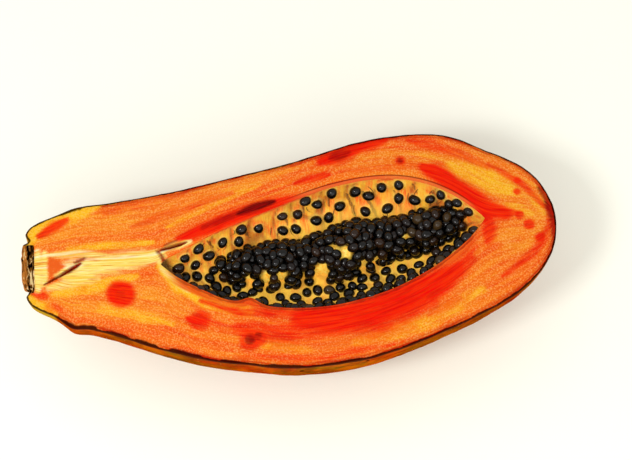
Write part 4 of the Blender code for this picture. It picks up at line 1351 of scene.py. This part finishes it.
# %% Skin
skin_finish, r, shader = new_finish(
    "papaya_skin", Subsurface_Weight=0.08, Subsurface_Radius=(1.0, 0.40, 0.12), Subsurface_Scale=0.0015,
    IOR=1.38, Specular_IOR_Level=0.0, Coat_Roughness=0.30,
)
flow = r.flow("skin_flow")
broad = r.effect(strands, Flow=flow, Spacing=9.0, Length=45.0, Contrast=0.14, Offset=2.0)
fine = r.effect(strands, Flow=flow, Spacing=1.6, Length=12.0, Contrast=0.14, Offset=6.0)
green = r.effect(patches, Size=0.026, Cover=0.50, Softness=0.13, Offset=0.7)
brown = r.effect(patches, Size=0.0105, Cover=0.46, Softness=0.14, Offset=1.9)
gold = r.effect(patches, Size=0.030, Cover=0.55, Softness=0.12, Offset=3.1)
pulp = r.group(grain, Size=0.0011)
paint = r.mix(gold, seen(192, 56, 10), seen(206, 104, 22))
paint = r.mix(r.times(broad, 0.60), paint, seen(180, 44, 8))
olive = r.times(green, r.ramp(fine, 0.1, 0.9, 0.30, 1.0))
paint = r.mix(r.times(olive, 0.85), paint, seen(122, 100, 26))
paint = r.mix(r.times(brown, 0.56), paint, seen(98, 42, 12))
streaked = r.times(r.ramp(fine, 0.72, 1.0), r.ramp(broad, 0.0, 0.6, 0.35, 1.0))
paint = r.mix(r.times(streaked, 0.50), paint, seen(84, 38, 12))
paint = r.mix(r.times(r.mask("yellow"), 0.6), paint, seen(216, 178, 52))
nicks = r.effect(specks, Spacing=0.011, Size=0.16, Share=0.55)
dots = r.effect(specks, Spacing=0.0042, Size=0.13, Share=0.45)
paint = r.mix(r.times(dots, 0.40), paint, seen(214, 160, 80))
paint = r.mix(r.times(nicks, 0.85), paint, seen(58, 32, 16))
paint = r.mix(r.ramp(r.mask("below_mm"), 1.5, 0.5, 0.0, 0.90), paint, seen(48, 24, 10))
scarred = r.mask("cork")
torn = r.group(cork, Layer=0.0018)
paint = r.mix(r.ramp(scarred, 0.35, 0.6), paint, torn.outputs["Color"])
r.feed(shader.inputs["Base Color"], paint)
dull = r.math("MAXIMUM", r.ramp(scarred, 0.2, 0.6), r.times(brown, 0.4))
smooth = r.ramp(pulp.outputs["Mask"], 0.0, 1.0, 0.36, 0.50)
r.feed(shader.inputs["Roughness"], r.plus(r.times(dull, 0.35), smooth))
facing = r.add("LayerWeight", {"Blend": 0.5}).outputs["Facing"]
waxy = r.times(r.ramp(facing, 0.30, 0.75, 0.14, 0.0), r.ramp(scarred, 0.0, 0.5, 1.0, 0.0))
r.feed(shader.inputs["Coat Weight"], waxy)
relief = r.plus(pulp.outputs["Height"], r.minus(dots, r.times(nicks, 2.0)))
relief = r.plus(relief, r.times(torn.outputs["Height"], r.times(scarred, 6.0)))
r.feed(shader.inputs["Normal"], r.bump(relief, 0.4, 0.00025))

for finish in (skin_finish, flesh_finish, wall_finish):
    fruit.data.materials.append(finish)

# %% [markdown]
# ## Seeds
# A fresh papaya seed is an egg of about 6 mm in a thin wet jelly, nearly black, with a small sharp
# glint. All seeds of a heap are one mesh: a single egg shape is turned, scaled and copied by arrays
# of points, which stays light and is plain geometry. A few seeds are paler or brown.

# %% Egg shape
SEED_SIDES, SEED_RINGS, SEED_GROWTH = 18, 11, 1.10


def egg():
    """Points and faces of a seed of length and width 1 that is blunter at its lower end."""
    turns = [math.tau * side / SEED_SIDES for side in range(SEED_SIDES)]
    shape = [(0.0, 0.0, 0.5)]
    for ring in range(1, SEED_RINGS):
        lean = math.pi * ring / SEED_RINGS
        width, height = 0.5 * math.sin(lean) * (1 - 0.10 * math.cos(lean)), 0.5 * math.cos(lean)
        shape += [(width * math.cos(turn), width * math.sin(turn), height) for turn in turns]
    shape.append((0.0, 0.0, -0.5))
    last = len(shape) - 1

    def corner(ring, side):
        return 1 + ring * SEED_SIDES + side % SEED_SIDES

    sheets = [(0, corner(0, s), corner(0, s + 1)) for s in range(SEED_SIDES)]
    for ring in range(SEED_RINGS - 2):
        below = ring + 1
        for s in range(SEED_SIDES):
            sheets.append((corner(ring, s), corner(below, s), corner(below, s + 1), corner(ring, s + 1)))
    sheets += [(last, corner(SEED_RINGS - 2, s + 1), corner(SEED_RINGS - 2, s)) for s in range(SEED_SIDES)]
    return np.array(shape), sheets


EGG, EGG_FACES = egg()


def seed_piece(name, seeds, finish, tone_seed):
    """One mesh of all these seeds, each with a tone of its own."""
    tones = random.Random(tone_seed)
    spots, sheets, tone = [], [], []
    for number, (middle, turned, size) in enumerate(seeds):
        plump = 1 + tones.uniform(-0.06, 0.06)
        size *= SEED_GROWTH
        shape = EGG * (SEED_WIDTH * size * plump, SEED_WIDTH * size, SEED_LENGTH * size)
        spots.append(shape @ np.array(turned.to_matrix()).T + np.array(middle))
        sheets += [tuple(i + number * len(EGG) for i in face) for face in EGG_FACES]
        tone += [tones.random()] * len(EGG)
    mesh = bpy.data.meshes.new(name)
    mesh.from_pydata(np.concatenate(spots).tolist(), [], sheets)
    mesh.shade_smooth()
    piece = new_piece(name, mesh)
    store(piece, "tone", tone)
    mesh.materials.append(finish)
    return piece


print("egg:", len(EGG), "points")

# %% Seed finish
seed_finish, r, shader = new_finish("wet_seed", Specular_IOR_Level=0.05, Coat_Roughness=0.04, Coat_IOR=1.5)
tone = r.mask("tone")
wrinkle = r.add("TexVoronoi", {"Vector": r.place(), "Scale": 1150.0}, feature="DISTANCE_TO_EDGE")
veins = r.ramp(wrinkle.outputs["Distance"], 0.0, 0.22)
cloudy = r.effect(patches, Size=0.0022, Cover=0.35, Softness=0.12)
paint = r.mix(r.ramp(tone, 0.55, 0.85), seen(12, 10, 10), seen(36, 30, 27))
paint = r.mix(r.times(r.ramp(tone, 0.87, 0.91), 0.9), paint, seen(54, 38, 29))
paint = r.mix(r.times(r.ramp(tone, 0.97, 0.98), 0.9), paint, seen(74, 58, 38))
paint = r.mix(r.times(cloudy, 0.22), paint, seen(66, 60, 54))
paint = r.mix(r.times(r.ramp(veins, 1.0, 0.0), 0.35), paint, seen(6, 5, 5))
r.feed(shader.inputs["Base Color"], paint)
r.feed(shader.inputs["Roughness"], r.ramp(cloudy, 0.0, 1.0, 0.22, 0.36))
r.feed(shader.inputs["Coat Weight"], r.ramp(cloudy, 0.0, 1.0, 0.62, 0.40))
r.feed(shader.inputs["Normal"], r.bump(veins, 0.25, 0.00012))

# %% Seeds on the wall and on the heap
wall_piece = seed_piece("wall_seeds", wall_seeds + side_seeds, seed_finish, 21)
heap_piece = seed_piece("heap_seeds", heap_seeds + heap_filling, seed_finish, 22)
print("wall:", len(wall_piece.data.polygons), "faces; heap:", len(heap_piece.data.polygons), "faces")

# %% [markdown]
# ## What is under the seeds
# Between the seeds of the heap there are more seeds in dark wet jelly. A body just under the visible
# ones closes the gaps, in the same long shape as the heap. It is lumpy and very dark, but yellow
# like the wall in the bare spots, where the heap has lost its seeds. There it carries the same
# painted light as the wall: a glow in its own colour.

# %% Bed of the heap
BED_RINGS, BED_SIDES, BED_SUNK, BED_END_GAP, BARE_RISE = 90, 40, 0.0030, 0.0042, 0.0007
BED_LUMP_HEIGHT, BED_LUMP_SIZE = 0.0006, 0.0035


def close(mesh, weld=0.0):
    """Welds points that coincide, turns all faces outward and shades them smooth."""
    bm = bmesh.new()
    bm.from_mesh(mesh)
    if weld:
        bmesh.ops.remove_doubles(bm, verts=bm.verts, dist=weld)
    bmesh.ops.recalc_face_normals(bm, faces=bm.faces)
    bm.to_mesh(mesh)
    bm.free()
    mesh.shade_smooth()


bed = np.zeros((BED_RINGS + 1, BED_SIDES, 3))
for ring in range(BED_RINGS + 1):
    along = (1 - math.cos(math.pi * ring / BED_RINGS)) / 2
    x = HEAP_START_X + BED_END_GAP + (HEAP_END_X - HEAP_START_X - 2 * BED_END_GAP) * along
    for side in range(BED_SIDES):
        bed[ring, side] = heap_point(x, math.tau * side / BED_SIDES, BED_SUNK)
bed[0], bed[-1] = bed[0].mean(axis=0), bed[-1].mean(axis=0)
lumps = rough(bed.reshape(-1, 3), BED_LUMP_SIZE).reshape(bed.shape[:2])
bed += BED_LUMP_HEIGHT * lumps[..., None] * (0, 0.4, 1.0)
mesh = bpy.data.meshes.new("heap_bed")
sheets = []
for row in range(0, BED_RINGS * BED_SIDES, BED_SIDES):
    for side in range(BED_SIDES):
        beside = (side + 1) % BED_SIDES
        sheets.append((row + side, row + beside, row + BED_SIDES + beside, row + BED_SIDES + side))
mesh.from_pydata(bed.reshape(-1, 3).tolist(), [], sheets)
close(mesh, 1e-6)
bed_piece = new_piece("heap_bed", mesh)

spots = np.empty(3 * len(mesh.vertices))
mesh.vertices.foreach_get("co", spots)
spots = spots.reshape(-1, 3)
bare_share = np.zeros(len(spots))
for x, y, reach in BARE_SPOTS:
    away = np.hypot(spots[:, 0] - x, spots[:, 1] - y)
    bare_share = np.maximum(bare_share, smooth_array(1.6 * (1.25 - away / reach)))
store(bed_piece, "membrane", bare_share)
spots[:, 2] += BARE_RISE * bare_share * smooth_array((spots[:, 2] - 0.025) / 0.005)
mesh.vertices.foreach_set("co", spots.ravel())

bed_finish, r, shader = new_finish(
    "dark_jelly", Coat_Weight=0.2, Coat_Roughness=0.20, IOR=1.36, Emission_Strength=PAINTED_WALL_LIGHT
)
pulp = r.group(grain, Size=0.0016)
cloudy = r.effect(patches, Size=0.004, Cover=0.5, Softness=0.1)
paint = r.mix(cloudy, seen(14, 10, 9), seen(36, 22, 14))
bared = r.mask("membrane")
paint = r.mix(bared, paint, r.mix(pulp.outputs["Mask"], seen(255, 180, 54), seen(255, 222, 100)))
r.feed(shader.inputs["Base Color"], paint)
# Painted light: the bare yellow spots glow in their own colour, like the wall.
r.feed(shader.inputs["Emission Color"], r.mix(bared, BLACK, paint))
r.feed(shader.inputs["Roughness"], r.ramp(pulp.outputs["Mask"], 0.0, 1.0, 0.25, 0.5))
r.feed(shader.inputs["Normal"], r.bump(pulp.outputs["Height"], 0.6, 0.0005))
bed_piece.data.materials.append(bed_finish)
print("bed:", len(mesh.polygons), "faces")

# %% [markdown]
# ## Threads of the membrane
# Thin dry threads hang on the wall, most of them on its far side, where seeds were pulled away.
# Each is a narrow tube that tapers to both ends and follows the wall.

# %% Threads
THREADS, THREAD_SIDES, THREAD_STEPS = 34, 5, 9
THREAD_THICK, THREAD_LIFT, THREAD_SAG = 0.00016, 0.0002, 0.0009

draw = random.Random(8)
spots, sheets = [], []
for number in range(THREADS):
    x0 = draw.uniform(-0.058, 0.060) if number % 4 else draw.uniform(0.060, 0.094)
    turn0 = -draw.uniform(0.25, 0.95) if number % 5 else draw.uniform(-2.9, -2.4)
    reach_x, reach_turn = draw.uniform(-0.0035, 0.0035), -draw.uniform(0.10, 0.24)
    bend = draw.uniform(-0.0012, 0.0012)
    start = len(spots)
    for step in range(THREAD_STEPS):
        part = step / (THREAD_STEPS - 1)
        x = x0 + reach_x * part + bend * math.sin(math.pi * part)
        turn = turn0 + reach_turn * part
        middle, out = cavity_point(x, turn), cavity_normal(x, turn)
        middle += out * (THREAD_LIFT + THREAD_SAG * math.sin(math.pi * part) ** 2)
        beside = Vector((1, 0, 0))
        thick = THREAD_THICK * (0.35 + math.sin(math.pi * min(1.0, part + 0.15)))
        for s in range(THREAD_SIDES):
            lean = math.tau * s / THREAD_SIDES
            spots.append(middle + (beside * math.cos(lean) + out * math.sin(lean)) * thick)
    for step in range(THREAD_STEPS - 1):
        for s in range(THREAD_SIDES):
            a, b = start + step * THREAD_SIDES, start + (step + 1) * THREAD_SIDES
            sheets.append((a + s, a + (s + 1) % THREAD_SIDES, b + (s + 1) % THREAD_SIDES, b + s))
    end = start + THREAD_STEPS * THREAD_SIDES
    sheets.append(tuple(range(start, start + THREAD_SIDES)))
    sheets.append(tuple(range(end - 1, end - THREAD_SIDES - 1, -1)))
mesh = bpy.data.meshes.new("wall_threads")
mesh.from_pydata([tuple(p) for p in spots], [], sheets)
close(mesh)
thread_piece = new_piece("wall_threads", mesh)
thread_finish, r, shader = new_finish("dry_thread", IOR=1.4)
pulp = r.group(grain, Size=0.0012)
r.feed(shader.inputs["Base Color"], r.mix(pulp.outputs["Mask"], seen(40, 26, 18), seen(122, 74, 34)))
r.feed(shader.inputs["Roughness"], r.ramp(pulp.outputs["Mask"], 0.0, 1.0, 0.4, 0.7))
thread_piece.data.materials.append(thread_finish)
print("threads:", THREADS)

# %% [markdown]
# ## Riding on the model
# Every piece moves by the sideways shift that centred the solids, rides on the one body, and says
# which solid it stands for.

# %% Pieces on the frame
for piece, node, slot in (
    (fruit, "flesh", "flesh"), (wall_piece, "flesh", "seed"), (thread_piece, "flesh", "flesh"),
    (heap_piece, "seed_heap", "seed"), (bed_piece, "seed_heap", "seed"),
):
    coords = np.empty(3 * len(piece.data.vertices))
    piece.data.vertices.foreach_get("co", coords)
    piece.data.vertices.foreach_set("co", (coords.reshape(-1, 3) + np.array(SHIFT)).ravel())
    piece.data.update()
    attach(piece, "root")
    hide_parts(node)
    print(piece.name, "stands for", node)

# %% [markdown]
# ## Floor, light and camera
# The fruit lies on a plain ivory table. A soft box high on the near left gives each seed its
# glint and lights the far wall of the cavity, a wide one fills from the near right, and an ivory
# sky lights the rest. The camera looks steeply down from the near side.

# %% Floor
bpy.ops.mesh.primitive_plane_add(size=8.0, location=(0, 0, -0.0002))
floor = bpy.context.object
floor.name = "table"
floor_finish, r, shader = new_finish("ivory_table", Roughness=0.8, Specular_IOR_Level=0.0)
soft = r.effect(patches, Size=0.25, Cover=0.5, Softness=0.3)
r.feed(shader.inputs["Base Color"], r.mix(soft, (0.98, 0.98, 0.87, 1.0), (0.99, 0.99, 0.885, 1.0)))
floor.data.materials.append(floor_finish)

# %% Light
SKY_LIGHT, KEY_POWER, FILL_POWER = 0.75, 4.2, 5.6
KEY_PLACE, KEY_WIDTH = (-0.48, -0.40, 0.90), 0.23
FILL_PLACE, FILL_WIDTH = (0.25, -0.95, 0.75), 1.30
LIT_POINT = Vector((0, 0, 0.05))


def soft_box(name, place, width, power):
    """A square light at a place that faces the fruit."""
    light = bpy.data.lights.new(name, "AREA")
    light.shape, light.size, light.size_y = "RECTANGLE", width, width
    light.energy = power
    box = bpy.data.objects.new(name, light)
    box.location = place
    box.rotation_euler = (LIT_POINT - Vector(place)).to_track_quat("-Z", "Y").to_euler()
    bpy.context.scene.collection.objects.link(box)


soft_box("key_light", KEY_PLACE, KEY_WIDTH, KEY_POWER)
soft_box("fill_light", FILL_PLACE, FILL_WIDTH, FILL_POWER)
world = bpy.data.worlds.new("sky")
world.use_nodes = True
sky = world.node_tree.nodes["Background"]
sky.inputs["Color"].default_value = (1.0, 0.99, 0.96, 1.0)
sky.inputs["Strength"].default_value = SKY_LIGHT
scene = bpy.context.scene
scene.world = world
scene.view_settings.view_transform = "Standard"
scene.view_settings.look = "None"
print("view:", scene.view_settings.view_transform)

# %% Camera
CAMERA_AZIMUTH, CAMERA_ELEVATION, CAMERA_DISTANCE, CAMERA_LENS = -4.7, 66.0, 0.950, 99.83
LOOKED_AT = Vector((0.01436, 0.01204, CUT_Z))

turn, rise = math.radians(CAMERA_AZIMUTH), math.radians(CAMERA_ELEVATION)
back = Vector((math.sin(turn) * math.cos(rise), -math.cos(turn) * math.cos(rise), math.sin(rise)))
camera_data = bpy.data.cameras.new("camera")
camera_data.lens, camera_data.sensor_width = CAMERA_LENS, 36.0
camera_data.clip_start, camera_data.clip_end = 0.05, 50.0
camera = bpy.data.objects.new("camera", camera_data)
camera.location = LOOKED_AT + back * CAMERA_DISTANCE
camera.rotation_mode = "QUATERNION"
camera.rotation_quaternion = (-back).to_track_quat("-Z", "Y")
scene.collection.objects.link(camera)
scene.camera = camera
